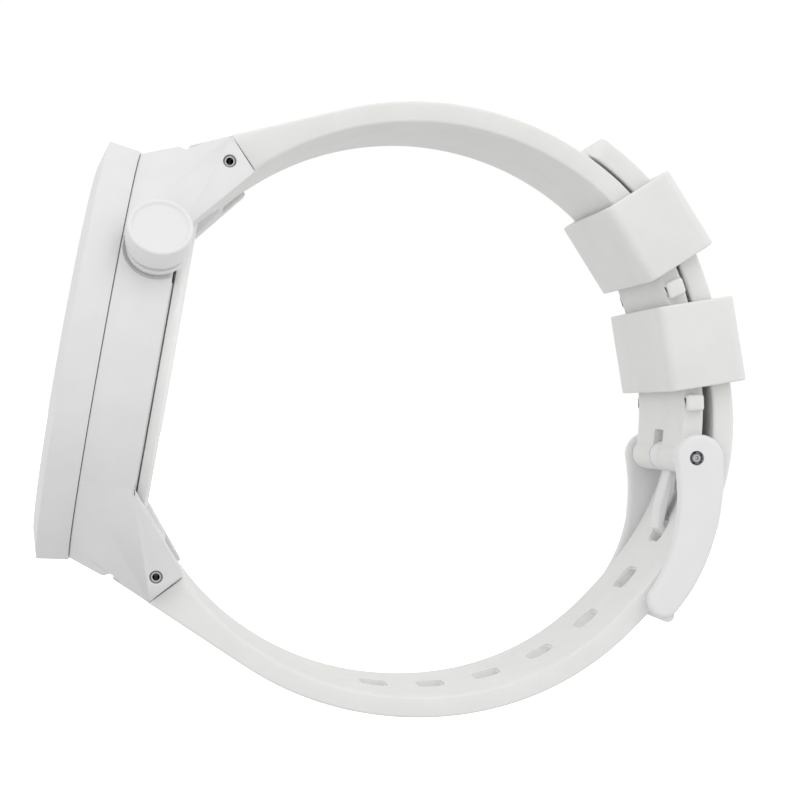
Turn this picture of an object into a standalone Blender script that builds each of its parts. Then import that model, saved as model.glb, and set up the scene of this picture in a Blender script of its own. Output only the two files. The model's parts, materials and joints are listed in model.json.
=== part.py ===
"""Analogue wristwatch with its silicone strap buckled into a loop.

Units are metres and +Z is up. The dial faces -Y, the crown side is +X and 12 o'clock is +Z. The origin is the
middle of the case back's outer face. The strap's loop is described in polar form about LOOP_CENTRE in the YZ
plane: the angle is 0 at the buckle pin and grows towards the lugs, upwards for the upper strap and downwards
for the lower strap, whose tail carries on past 0 to lie outside the upper strap.
"""

from math import atan2, ceil, cos, degrees, pi, radians, sin

import bmesh
import bpy
from mathutils import Matrix, Vector

MM = 0.001

# Clearances
GAP = 0.3 * MM  # between neighbouring pieces
TRAIN_GAP = 0.35 * MM  # between the rims of wheels that drive each other

# Case, measured along Y from the case back's outer face, towards the dial
CASE_RADIUS = 23.1 * MM
CASE_REAR = 1.65 * MM
CASE_FRONT = 7.5 * MM
DIAL_SEAT_DEPTH = 6.3 * MM
DIAL_BORE_RADIUS = 19.2 * MM
CASE_BORE_RADIUS = 17.6 * MM
NECK_RADIUS = CASE_RADIUS - 1.7 * MM
NECK_FRONT = 9.0 * MM

# Bezel and crystal
BEZEL_FRONT_RADIUS = CASE_RADIUS + 0.65 * MM
BEZEL_REAR_RADIUS = CASE_RADIUS + 0.15 * MM
BEZEL_RIM_DEPTH = 11.1 * MM
BEZEL_FACE_DEPTH = 11.9 * MM
BEZEL_FACE_RADIUS = BEZEL_FRONT_RADIUS - 2.85 * MM
BEZEL_LEDGE_RADIUS = 18.6 * MM
BEZEL_LEDGE_THICKNESS = 0.5 * MM
CRYSTAL_RADIUS = 19.3 * MM
CRYSTAL_THICKNESS = 1.8 * MM
CRYSTAL_GASKET_THICKNESS = 0.5 * MM

# Case back and battery hatch
BACK_RADIUS = 18.3 * MM
BACK_CHAMFER = 0.35 * MM
BACK_PLUG_DEPTH = 2.7 * MM
BACK_PLUG_WALL = 1.7 * MM
BACK_GROOVE_WIDTH = 1.0 * MM
BACK_GROOVE_DEPTH = 0.9 * MM
HATCH_OFFSET = 9.6 * MM  # below the watch's centre
HATCH_RADIUS = 5.6 * MM
HATCH_THICKNESS = 0.75 * MM
HATCH_SLOT_WIDTH = 1.2 * MM
HATCH_SLOT_DEPTH = 0.4 * MM
HATCH_GASKET_THICKNESS = 0.3 * MM
HATCH_LIP_THICKNESS = 0.35 * MM
HATCH_LIP_WIDTH = 0.9 * MM
HATCH_BOSS_WALL = 0.75 * MM

# Lugs
LUG_TIP_OUTER = (2.0 * MM, 25.4 * MM)  # (Y, Z)
LUG_TIP_INNER = (5.05 * MM, 21.9 * MM)
LUG_TIP_HALF_WIDTH = 13.5 * MM
LUG_ROOT_Z = 13.4 * MM
LUG_INSET = 0.04 * MM  # keeps the lugs' faces off the case's own
LUG_ROOT_HALF_WIDTH = 18.1 * MM
LUG_SLOT_HALF_WIDTH = 11.3 * MM
LUG_PIN_POINT = (2.2 * MM, 22.6 * MM)
LUG_PIN_RADIUS = 0.65 * MM
LUG_PIN_BORE = 0.38 * MM
LUG_PIN_PAST_TIP = 0.9 * MM  # each end, beyond the lug tips' width

# Crown, measured along its own axis from the watch's centre
CROWN_ANGLE = radians(30)
CROWN_DEPTH = 3.75 * MM
CROWN_RADIUS = 3.45 * MM
CROWN_BASE = CASE_RADIUS + 1.3 * MM
CROWN_TOP = CROWN_BASE + 3.0 * MM
CROWN_WALL_TOP = 1.0 * MM
CROWN_RIM = 0.5 * MM
CROWN_DISH = 0.25 * MM
CROWN_GROOVE = 0.15 * MM
CROWN_GROOVE_FROM_TOP = 1.1 * MM
TUBE_RADIUS = 2.0 * MM
TUBE_BORE = 1.6 * MM
TUBE_START = CASE_RADIUS - 2.5 * MM
TUBE_END = CROWN_BASE + 1.3 * MM
TUBE_FLANGE_RADIUS = 3.2 * MM
TUBE_FLANGE_THICKNESS = 0.7 * MM
STEM_RADIUS = 0.4 * MM
STEM_START = 8.2 * MM
CROWN_TRAVEL = 1.0 * MM

# Dial and hands, depths from the case back's outer face
DIAL_RADIUS = 18.9 * MM
DIAL_REAR = 6.9 * MM
DIAL_FRONT = 7.3 * MM
MARKER_RING_RADIUS = 16.6 * MM
MARKER_THICKNESS = 0.3 * MM
MARKER_LENGTH = 3.2 * MM
MARKER_WIDTH = 1.3 * MM
FLANGE_RING_FRONT = 9.0 * MM
FLANGE_RING_INNER = 17.2 * MM
HAND_THICKNESS = 0.25 * MM
HOUR_HAND_DEPTH = 7.9 * MM
MINUTE_HAND_DEPTH = 8.5 * MM
SECOND_HAND_DEPTH = 9.1 * MM
HOUR_HAND_LENGTH = 9.5 * MM
MINUTE_HAND_LENGTH = 14.2 * MM
SECOND_HAND_LENGTH = 15.2 * MM
HOUR_HAND_WIDTH = 1.6 * MM
MINUTE_HAND_WIDTH = 1.3 * MM
SECOND_HAND_WIDTH = 0.5 * MM
SECOND_HAND_TAIL = 5.0 * MM
SECOND_HAND_THICKNESS = 0.2 * MM
MINUTE_HUB_RADIUS = 1.5 * MM
SECOND_HUB_RADIUS = 1.0 * MM
HOUR_ANGLE = radians(305)  # ten past ten, clockwise from 12 o'clock
MINUTE_ANGLE = radians(60)
SECOND_ANGLE = radians(180)

# Movement
MOVEMENT_RADIUS = 15.0 * MM
HOLDER_FRONT = 6.5 * MM
HOLDER_REAR = 3.0 * MM
PLATE_FRONT = 5.4 * MM
PLATE_REAR = 4.9 * MM
BRIDGE_FRONT = 2.6 * MM
BRIDGE_REAR = 2.1 * MM
BATTERY_RADIUS = 4.75 * MM
BATTERY_THICKNESS = 2.2 * MM
WHEEL_THICKNESS = 0.3 * MM
SECOND_PIPE_RADIUS = 0.3 * MM
CENTRE_PIPE_BORE = 0.6 * MM
CENTRE_PIPE_RADIUS = 0.9 * MM
HOUR_PIPE_BORE = 1.2 * MM
HOUR_PIPE_RADIUS = 1.55 * MM
MINUTE_TRAIN_LEVEL = 6.35 * MM  # hour wheel and minute pinion
CANNON_LEVEL = 5.85 * MM  # cannon pinion and minute wheel
CENTRE_LEVEL = 4.15 * MM  # centre wheel and third pinion
THIRD_LEVEL = 3.55 * MM  # third wheel and fourth pinion
FOURTH_LEVEL = 3.05 * MM  # fourth wheel and intermediate pinion

# Strap loop
LOOP_CENTRE_Y = 27.0 * MM
STRAP_RADIUS = 32.5 * MM  # middle of the strap's thickness, away from the buckle
STRAP_THICKNESS = 2.3 * MM
STRAP_HALF_WIDTH = 12.0 * MM
STRAP_TANGENT_ANGLE = 113.8  # beyond it the strap's outer face runs straight to the lugs
LUG_FACE_ANGLE = 134.8
STRAP_END_ANGLE = 141.3
STRAP_DIP = 1.8 * MM  # how far the upper strap closes in towards its buckle
STRAP_DIP_START = 60.0
STRAP_DIP_END = 14.0
LOWER_BULGE = 0.5 * MM
LOWER_LIFT = 1.25 * MM
LOWER_LIFT_START = 35.0
TAIL_ANGLE = 66.0
TAIL_GAP = 0.35 * MM
EYE_RADIUS = 1.75 * MM
EYE_CENTRE_RADIUS = STRAP_RADIUS - 1.5 * MM
EYE_SLOT_ANGLE = 5.2
HOLE_FIRST_ANGLE = 15.4
HOLE_PITCH_ANGLE = 11.9
HOLES_BEFORE_LUG = 7
HOLES_ON_TAIL = 3
HOLE_LENGTH = 2.7 * MM
HOLE_WIDTH = 5.2 * MM
STOP_REACHES = (2.107 * MM, 1.88 * MM)  # from each keeper's lower end to the middle of its stop
STOP_LENGTH = 1.93 * MM
STOP_HEIGHT = 1.3 * MM

# Keepers
KEEPER_LOWER_ANGLE = 22.9
KEEPER_LENGTH = 9.4 * MM
KEEPER_SPACE = 4.27 * MM  # between the keepers, where the first stop stands
KEEPER_WALL = 1.15 * MM
KEEPER_SIDE_GAP = 0.45 * MM
KEEPER_SIDE_WALL = 1.6 * MM
KEEPER_ROUNDING = 0.45 * MM

# Buckle
BUCKLE_PIN_RADIUS = 0.5 * MM
BUCKLE_PIN_HALF_LENGTH = 14.35 * MM
BUCKLE_INNER_HALF_WIDTH = 12.7 * MM
BUCKLE_OUTER_HALF_WIDTH = 14.5 * MM
BUCKLE_TOP_RADIUS = 2.65 * MM
BUCKLE_FOOT_RADIUS = 1.8 * MM
BUCKLE_OUTSET = 0.4 * MM  # the side plates' round tops, outwards from the pin
BUCKLE_FOOT_CENTRE = (STRAP_RADIUS + 1.7 * MM, 28.0)  # loop radius and angle
CROSSBAR_RADIUS = 0.8 * MM
CROSSBAR_CENTRE = (STRAP_RADIUS + 3.05 * MM, 29.5)
TONGUE_HALF_WIDTH = 2.1 * MM
TONGUE_THICKNESS = 0.9 * MM
TONGUE_OFFSET = 0.65 * MM  # the straight part of its centre line, outwards from the pin

# The movement's train: wheel tip radii
CENTRE_WHEEL = 4.2 * MM
THIRD_WHEEL = 3.6 * MM
THIRD_PINION = 0.9 * MM
FOURTH_WHEEL = 3.7 * MM
FOURTH_PINION = 0.85 * MM
INTERMEDIATE_WHEEL = 2.6 * MM
INTERMEDIATE_PINION = 0.8 * MM
ROTOR_PINION = 0.65 * MM
ROTOR_RADIUS = 1.5 * MM
ROTOR_MAGNET_FRONT = 0.2 * MM  # past the centre wheel's level
CANNON_PINION = 1.3 * MM
MINUTE_WHEEL = 3.6 * MM
MINUTE_PINION = 0.95 * MM
ARBOR_RADIUS = 0.35 * MM
ARBOR_END = 0.4 * MM  # how far an arbor runs into the main plate
MINUTE_ARBOR_PAST = 0.25 * MM  # past the minute pinion's level
TOOTH_HEIGHT = 0.25 * MM

# Teeth: the coupling ratios in the record come from these
CENTRE_TEETH = 64
THIRD_TEETH = 60
THIRD_PINION_TEETH = 8
FOURTH_TEETH = 40
FOURTH_PINION_TEETH = 8
INTERMEDIATE_TEETH = 36
INTERMEDIATE_PINION_TEETH = 8
ROTOR_PINION_TEETH = 6
CANNON_TEETH = 12
MINUTE_TEETH = 36
MINUTE_PINION_TEETH = 8
HOUR_TEETH = 32

# Where the train's axes lie round the hands' axis, in degrees from +X
THIRD_BEARING = 165
INTERMEDIATE_BEARING = 75
ROTOR_BEARING = 120  # from the intermediate wheel
MINUTE_BEARING = 30

# Bridge, coil, circuit and setting lever, as (x, z) points
POST_RADIUS = 0.9 * MM
SCREW_RADIUS = 0.35 * MM
SCREW_HEAD = 0.4 * MM
SCREW_SLOT_HALF_WIDTH = 0.12 * MM
BRIDGE_POSTS = ((-10.4 * MM, 4.2 * MM), (8.6 * MM, 1.6 * MM), (-1.2 * MM, 12.6 * MM))
BATTERY_SPRING_THICKNESS = 0.25 * MM
COIL_AT = (-10.5 * MM, -4.9 * MM)
COIL_BEARING = 65
COIL_LENGTH = 8.0 * MM
COIL_RADIUS = 0.95 * MM
COIL_CORE_RADIUS = 0.45 * MM
COIL_CORE_END = 0.9 * MM
STATOR_WIDTH = 0.9 * MM
BOARD_REAR = 2.2 * MM
BOARD_FRONT = 2.6 * MM
BOARD_CORNERS = ((9.6 * MM, -1.2 * MM), (6.6 * MM, -2.6 * MM), (6.4 * MM, -6.2 * MM))
CHIP_LOW = (8.2 * MM, -4.8 * MM)
CHIP_HIGH = (10.6 * MM, -2.6 * MM)
CHIP_THICKNESS = 0.5 * MM
CAN_AT = (12.0 * MM, -2.0 * MM)
CAN_RADIUS = 0.55 * MM
CAN_HALF_LENGTH = 2.4 * MM
LEVER_PIVOT = (12.6 * MM, 2.4 * MM)  # along the stem, and to its 12 o'clock side
LEVER_HUB_RADIUS = 0.7 * MM
LEVER_HALF_WIDTH = 0.4 * MM
LEVER_THICKNESS = 0.35 * MM
SLIDING_PINION_RADIUS = 0.9 * MM
SLIDING_PINION_START = 0.7 * MM  # from the stem's inner end
SLIDING_PINION_LENGTH = 1.3 * MM
HAIR = 0.01 * MM  # keeps the faces of joined shapes off one another
CUT_REACH = 20 * MM  # a cutter's run past what it cuts

# Facet counts
ROUND_STEPS = 48
SMALL_STEPS = 16
TINY_STEPS = 10
STRAP_STEP = 4.5  # degrees between the strap's cross-sections

# Depths and radii that follow from the driving values
BACK_INNER_DEPTH = CASE_REAR - GAP
BACK_PLUG_RADIUS = CASE_BORE_RADIUS - GAP
CRYSTAL_FRONT = BEZEL_FACE_DEPTH
CRYSTAL_REAR = CRYSTAL_FRONT - CRYSTAL_THICKNESS
LEDGE_FRONT = CRYSTAL_REAR - GAP
LEDGE_REAR = LEDGE_FRONT - BEZEL_LEDGE_THICKNESS
CRYSTAL_GASKET_INNER = CRYSTAL_RADIUS + GAP
CRYSTAL_GASKET_OUTER = CRYSTAL_GASKET_INNER + CRYSTAL_GASKET_THICKNESS
CRYSTAL_BORE = CRYSTAL_GASKET_OUTER + GAP
BATTERY_FRONT = PLATE_REAR - GAP
BATTERY_REAR = BATTERY_FRONT - BATTERY_THICKNESS
STEM_DEPTH = CROWN_DEPTH
HATCH_HOLE_RADIUS = HATCH_RADIUS + GAP
HATCH_LIP_FRONT = HATCH_THICKNESS + GAP + HATCH_GASKET_THICKNESS + GAP
EYE_HOLE_RADIUS = BUCKLE_PIN_RADIUS + GAP
KEEPER_UPPER_ANGLE = KEEPER_LOWER_ANGLE + degrees((KEEPER_LENGTH + KEEPER_SPACE) / STRAP_RADIUS)
KEEPER_ANGLES = (KEEPER_UPPER_ANGLE, KEEPER_LOWER_ANGLE)
STOP_SPAN = degrees(STOP_LENGTH / STRAP_RADIUS)
STOP_ANGLES = tuple(
    angle - degrees((KEEPER_LENGTH / 2 + reach) / STRAP_RADIUS) for angle, reach in zip(
        KEEPER_ANGLES, STOP_REACHES
    )
)
LUG_PIN_HOLE_RADIUS = LUG_PIN_RADIUS + GAP

COLOURS = {
    "white_case": ("E3E3E2", 0.45, 0.0),
    "white_crown": ("EFF0F1", 0.4, 0.0),
    "white_back": ("F7F7F6", 0.15, 0.0),
    "silicone": ("E6E6E4", 0.6, 0.0),
    "glass": ("E8F0F2", 0.03, 0.0),
    "steel": ("B9BBBD", 0.3, 1.0),
    "brass": ("C9A95C", 0.35, 1.0),
    "copper": ("B8693B", 0.4, 1.0),
    "black_rubber": ("26272A", 0.7, 0.0),
    "circuit_green": ("1E6B3C", 0.5, 0.0),
    "dark_plastic": ("303236", 0.55, 0.0),
    "dial_white": ("F2F2EF", 0.5, 0.0),
    "grey_metal": ("A4A7AA", 0.35, 1.0),
    "natural_plastic": ("DADAD2", 0.5, 0.0),
}


def linear(channel):
    """One sRGB channel, 0 to 1, as the linear value that a shader takes."""
    return channel / 12.92 if channel <= 0.04045 else ((channel + 0.055) / 1.055) ** 2.4


def material(name, finish):
    """A new Principled material with one of the named finishes."""
    code, roughness, metallic = COLOURS[finish]
    made = bpy.data.materials.new(name)
    made.use_nodes = True
    shader = made.node_tree.nodes["Principled BSDF"]
    rgb = [linear(int(code[at : at + 2], 16) / 255) for at in (0, 2, 4)]
    shader.inputs["Base Color"].default_value = (*rgb, 1.0)
    shader.inputs["Roughness"].default_value = roughness
    shader.inputs["Metallic"].default_value = metallic
    made.diffuse_color = (*rgb, 1.0)
    return made


def add_object(name, mesh_data, finish, matrix=None, parent=None):
    """An object made from a bmesh, with its own material. The matrix places it in the world."""
    bmesh.ops.remove_doubles(mesh_data, verts=mesh_data.verts, dist=1e-6)
    bmesh.ops.recalc_face_normals(mesh_data, faces=mesh_data.faces)
    mesh = bpy.data.meshes.new(name)
    mesh_data.to_mesh(mesh)
    mesh_data.free()
    mesh.shade_smooth()
    mesh.set_sharp_from_angle(angle=radians(35))
    made = bpy.data.objects.new(name, mesh)
    bpy.context.scene.collection.objects.link(made)
    made.data.materials.append(material(name + "_finish", finish))
    made.parent = parent
    if matrix is not None:
        made.matrix_world = matrix
    return made


def add_cutter(name, mesh_data, matrix=None):
    """A helper object that a Boolean uses and a render leaves out."""
    cutter = add_object(name, mesh_data, "steel", matrix)
    cutter.hide_render = True
    cutter.display_type = "WIRE"
    return cutter


HOLE_TOLERANT = ("upper_strap",)


def boolean(target, other, operation):
    """Joins or cuts one object by another with an exact Boolean modifier."""
    modifier = target.modifiers.new(operation.lower() + "_" + other.name, "BOOLEAN")
    modifier.operation = operation
    modifier.object = other
    modifier.solver = "EXACT"
    modifier.use_hole_tolerant = target.name in HOLE_TOLERANT


def cut(target, name, mesh_data, matrix=None):
    """Cuts a bmesh's shape out of an object."""
    boolean(target, add_cutter(name, mesh_data, matrix), "DIFFERENCE")


def join(target, name, mesh_data, matrix=None):
    """Adds a bmesh's shape to an object, as one body."""
    boolean(target, add_cutter(name, mesh_data, matrix), "UNION")


def turned(profile, steps=ROUND_STEPS):
    """A bmesh spun about local Z from (radius, height) points. A ring's profile closes on itself."""
    made = bmesh.new()
    points = [made.verts.new((radius, 0, height)) for radius, height in profile]
    pairs = list(zip(points, points[1:]))
    if profile[0][0] > 0:
        pairs.append((points[-1], points[0]))
    edges = [made.edges.new(pair) for pair in pairs]
    around = {"cent": (0, 0, 0), "axis": (0, 0, 1), "angle": 2 * pi}
    bmesh.ops.spin(made, geom=points + edges, steps=steps, use_duplicate=False, **around)
    bmesh.ops.remove_doubles(made, verts=made.verts, dist=1e-6)
    return made


def disc(radius, low, high, steps=ROUND_STEPS):
    """A plain cylinder about local Z."""
    return turned([(0, low), (radius, low), (radius, high), (0, high)], steps)


def ring(inner, outer, low, high, steps=ROUND_STEPS):
    """A plain ring about local Z."""
    return turned([(inner, low), (outer, low), (outer, high), (inner, high)], steps)


def box(low, high):
    """A bmesh box between two corners."""
    made = bmesh.new()
    size = Vector(high) - Vector(low)
    middle = (Vector(high) + Vector(low)) / 2
    bmesh.ops.create_cube(made, size=1, matrix=Matrix.Translation(middle) @ Matrix.Diagonal((*size, 1)))
    return made


def prism(outline, low, high):
    """A bmesh prism: a closed (a, b) outline in the local XY plane, from height low to height high."""
    made = bmesh.new()
    made.faces.new([made.verts.new((a, b, low)) for a, b in outline])
    top = bmesh.ops.extrude_face_region(made, geom=made.faces[:])
    moved = [item for item in top["geom"] if isinstance(item, bmesh.types.BMVert)]
    bmesh.ops.translate(made, verts=moved, vec=(0, 0, high - low))
    return made


def arc(centre, radius, start, end, count):
    """Points on an arc, in degrees, both ends included."""
    angles = [radians(start + (end - start) * at / count) for at in range(count + 1)]
    return [(centre[0] + radius * cos(angle), centre[1] + radius * sin(angle)) for angle in angles]


# Local Z of a turned piece lies along the watch's depth (towards the dial), the crown's axis or the X axis.
ON_DEPTH = Matrix(((1, 0, 0, 0), (0, 0, -1, 0), (0, 1, 0, 0), (0, 0, 0, 1)))
ON_WIDTH = Matrix(((0, 0, 1, 0), (1, 0, 0, 0), (0, 1, 0, 0), (0, 0, 0, 1)))
ON_CROWN = Matrix.Translation((0, -CROWN_DEPTH, 0)) @ Matrix.Rotation(-CROWN_ANGLE, 4, "Y") @ ON_WIDTH


def on_depth(x=0.0, z=0.0, depth=0.0, turn=0.0):
    """Places a piece that faces the dial side, turned clockwise as the wearer sees it."""
    return Matrix.Translation((x, -depth, z)) @ Matrix.Rotation(turn, 4, "Y") @ ON_DEPTH


# ---------------------------------------------------------------- case


def lug_hull(side):
    """One pair of lugs as a hull between the case's circle and the lug tips. side is 1 at 12 o'clock."""
    made = bmesh.new()
    start = degrees(atan2(LUG_ROOT_Z, LUG_ROOT_HALF_WIDTH))
    root_x = (CASE_RADIUS - LUG_INSET) * cos(radians(start))
    root_z = (CASE_RADIUS - LUG_INSET) * sin(radians(start))
    flare = (root_x - LUG_TIP_HALF_WIDTH) / (LUG_TIP_OUTER[1] - root_z)
    for depth in (CASE_FRONT - LUG_INSET, CASE_REAR + LUG_INSET):
        for x, z in arc((0, 0), CASE_RADIUS - LUG_INSET, start, 180 - start, ROUND_STEPS // 3):
            made.verts.new((x, -depth, side * z))
    for y, z in (LUG_TIP_OUTER, LUG_TIP_INNER):
        half = LUG_TIP_HALF_WIDTH + flare * (LUG_TIP_OUTER[1] - z)
        for x in (-half, half):
            made.verts.new((x, y, side * z))
    hull = bmesh.ops.convex_hull(made, input=made.verts)
    inside = [item for item in set(hull["geom_interior"]) if isinstance(item, bmesh.types.BMVert)]
    bmesh.ops.delete(made, geom=inside, context="VERTS")
    return made


def polar(radius, angle):
    """A (Y, Z) point of the strap's loop, from its radius and its angle in degrees."""
    return (LOOP_CENTRE_Y + radius * cos(radians(angle)), radius * sin(radians(angle)))


def build_case():
    blank = [
        (0, CASE_REAR),
        (CASE_RADIUS, CASE_REAR),
        (CASE_RADIUS, CASE_FRONT),
        (NECK_RADIUS, CASE_FRONT),
        (NECK_RADIUS, NECK_FRONT),
        (0, NECK_FRONT),
    ]
    case = add_object("case_middle", turned(blank), "white_case", ON_DEPTH)
    back_seat = CASE_REAR + LUG_INSET / 2
    inside = [
        (0, NECK_FRONT + MM),
        (DIAL_BORE_RADIUS, NECK_FRONT + MM),
        (DIAL_BORE_RADIUS, DIAL_SEAT_DEPTH),
        (CASE_BORE_RADIUS, DIAL_SEAT_DEPTH),
        (CASE_BORE_RADIUS, back_seat),
        (BACK_RADIUS + GAP, back_seat),
        (BACK_RADIUS + GAP, -6 * MM),
        (0, -6 * MM),
    ]
    for side, name in ((1, "upper"), (-1, "lower")):
        join(case, "lugs_" + name, lug_hull(side))
    cut(case, "case_inside", turned(inside), ON_DEPTH)
    for side, name in ((1, "upper"), (-1, "lower")):
        gap_angle = degrees(GAP / STRAP_RADIUS)
        slot = [
            polar(STRAP_RADIUS - 12 * MM, STRAP_END_ANGLE + gap_angle),
            polar(STRAP_RADIUS + 12 * MM, STRAP_END_ANGLE + gap_angle),
            polar(STRAP_RADIUS + 12 * MM, 110),
            polar(STRAP_RADIUS - 12 * MM, 110),
        ]
        slot = [(y, side * z) for y, z in slot]
        cut(case, "lug_slot_" + name, prism(slot, -LUG_SLOT_HALF_WIDTH, LUG_SLOT_HALF_WIDTH), ON_WIDTH)
        pin_hole = disc(LUG_PIN_HOLE_RADIUS, -20 * MM, 20 * MM, SMALL_STEPS)
        at_pin = Matrix.Translation((0, LUG_PIN_POINT[0], side * LUG_PIN_POINT[1])) @ ON_WIDTH
        cut(case, "lug_pin_hole_" + name, pin_hole, at_pin)
        pin_end = LUG_TIP_HALF_WIDTH + LUG_PIN_PAST_TIP
        pin = ring(LUG_PIN_BORE, LUG_PIN_RADIUS, -pin_end, pin_end, TINY_STEPS)
        add_object("lug_pin_" + name, pin, "steel", at_pin)
    crown_hole = [
        (0, STEM_START),
        (TUBE_RADIUS + GAP, STEM_START),
        (TUBE_RADIUS + GAP, CASE_RADIUS + 4 * MM),
        (0, CASE_RADIUS + 4 * MM),
    ]
    cut(case, "crown_hole", turned(crown_hole, SMALL_STEPS), ON_CROWN)
    spot = disc(TUBE_FLANGE_RADIUS + GAP, CASE_RADIUS - 0.45 * MM, CASE_RADIUS + 4 * MM, SMALL_STEPS * 2)
    cut(case, "crown_seat", spot, ON_CROWN)


def build_bezel():
    profile = [
        (BEZEL_LEDGE_RADIUS, LEDGE_FRONT),
        (BEZEL_LEDGE_RADIUS, LEDGE_REAR),
        (NECK_RADIUS + GAP, LEDGE_REAR),
        (NECK_RADIUS + GAP, CASE_FRONT + GAP),
        (BEZEL_REAR_RADIUS, CASE_FRONT + GAP),
        (BEZEL_FRONT_RADIUS, BEZEL_RIM_DEPTH),
        (BEZEL_FACE_RADIUS, BEZEL_FACE_DEPTH),
        (CRYSTAL_BORE, BEZEL_FACE_DEPTH),
        (CRYSTAL_BORE, LEDGE_FRONT),
    ]
    add_object("bezel_ring", turned(profile), "white_case", ON_DEPTH)
    add_object("crystal", disc(CRYSTAL_RADIUS, CRYSTAL_REAR, CRYSTAL_FRONT), "glass", ON_DEPTH)
    gasket = ring(CRYSTAL_GASKET_INNER, CRYSTAL_GASKET_OUTER, CRYSTAL_REAR, CRYSTAL_FRONT - GAP)
    add_object("crystal_gasket", gasket, "natural_plastic", ON_DEPTH)
    flange = [
        (FLANGE_RING_INNER, DIAL_FRONT + GAP),
        (DIAL_RADIUS, DIAL_FRONT + GAP),
        (DIAL_RADIUS, FLANGE_RING_FRONT),
        (FLANGE_RING_INNER + 0.8 * MM, FLANGE_RING_FRONT),
    ]
    add_object("flange_ring", turned(flange), "dial_white", ON_DEPTH)


def build_back():
    groove_rear = BACK_INNER_DEPTH + GAP / 2
    groove_front = groove_rear + BACK_GROOVE_WIDTH
    groove_floor = BACK_PLUG_RADIUS - BACK_GROOVE_DEPTH
    profile = [
        (0, 0),
        (BACK_RADIUS - BACK_CHAMFER, 0),
        (BACK_RADIUS, BACK_CHAMFER),
        (BACK_RADIUS, BACK_INNER_DEPTH),
        (BACK_PLUG_RADIUS, BACK_INNER_DEPTH),
        (BACK_PLUG_RADIUS, groove_rear),
        (groove_floor, groove_rear),
        (groove_floor, groove_front),
        (BACK_PLUG_RADIUS, groove_front),
        (BACK_PLUG_RADIUS, BACK_PLUG_DEPTH),
        (BACK_PLUG_RADIUS - BACK_PLUG_WALL, BACK_PLUG_DEPTH),
        (BACK_PLUG_RADIUS - BACK_PLUG_WALL, BACK_INNER_DEPTH),
        (0, BACK_INNER_DEPTH),
    ]
    back = add_object("case_back", turned(profile), "white_back", ON_DEPTH)
    at_hatch = on_depth(z=-HATCH_OFFSET)
    boss_top = HATCH_LIP_FRONT + HATCH_LIP_THICKNESS
    boss = disc(HATCH_HOLE_RADIUS + HATCH_BOSS_WALL, BACK_INNER_DEPTH / 2, boss_top, SMALL_STEPS * 2)
    join(back, "hatch_boss", boss, at_hatch)
    opening = [
        (0, -MM),
        (HATCH_HOLE_RADIUS, -MM),
        (HATCH_HOLE_RADIUS, HATCH_LIP_FRONT),
        (HATCH_HOLE_RADIUS - HATCH_LIP_WIDTH, HATCH_LIP_FRONT),
        (HATCH_HOLE_RADIUS - HATCH_LIP_WIDTH, boss_top + MM),
        (0, boss_top + MM),
    ]
    cut(back, "hatch_opening", turned(opening, SMALL_STEPS * 2), at_hatch)
    inner = groove_floor + GAP
    seal = ring(inner, BACK_PLUG_RADIUS, groove_rear + GAP, groove_front - GAP)
    add_object("case_back_gasket", seal, "black_rubber", ON_DEPTH)
    hatch = add_object(
        "battery_hatch", disc(HATCH_RADIUS, 0, HATCH_THICKNESS, SMALL_STEPS * 2), "white_back", at_hatch
    )
    half = HATCH_SLOT_WIDTH / 2
    coin_slot = box((-half, -HATCH_RADIUS * 2, -MM), (half, HATCH_RADIUS * 2, HATCH_SLOT_DEPTH))
    cut(hatch, "coin_slot", coin_slot, at_hatch)
    rear = HATCH_THICKNESS + GAP
    hatch_seal = ring(
        HATCH_HOLE_RADIUS - HATCH_LIP_WIDTH,
        HATCH_RADIUS,
        rear,
        rear + HATCH_GASKET_THICKNESS,
        SMALL_STEPS * 2,
    )
    add_object("hatch_gasket", hatch_seal, "black_rubber", at_hatch)


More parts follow.
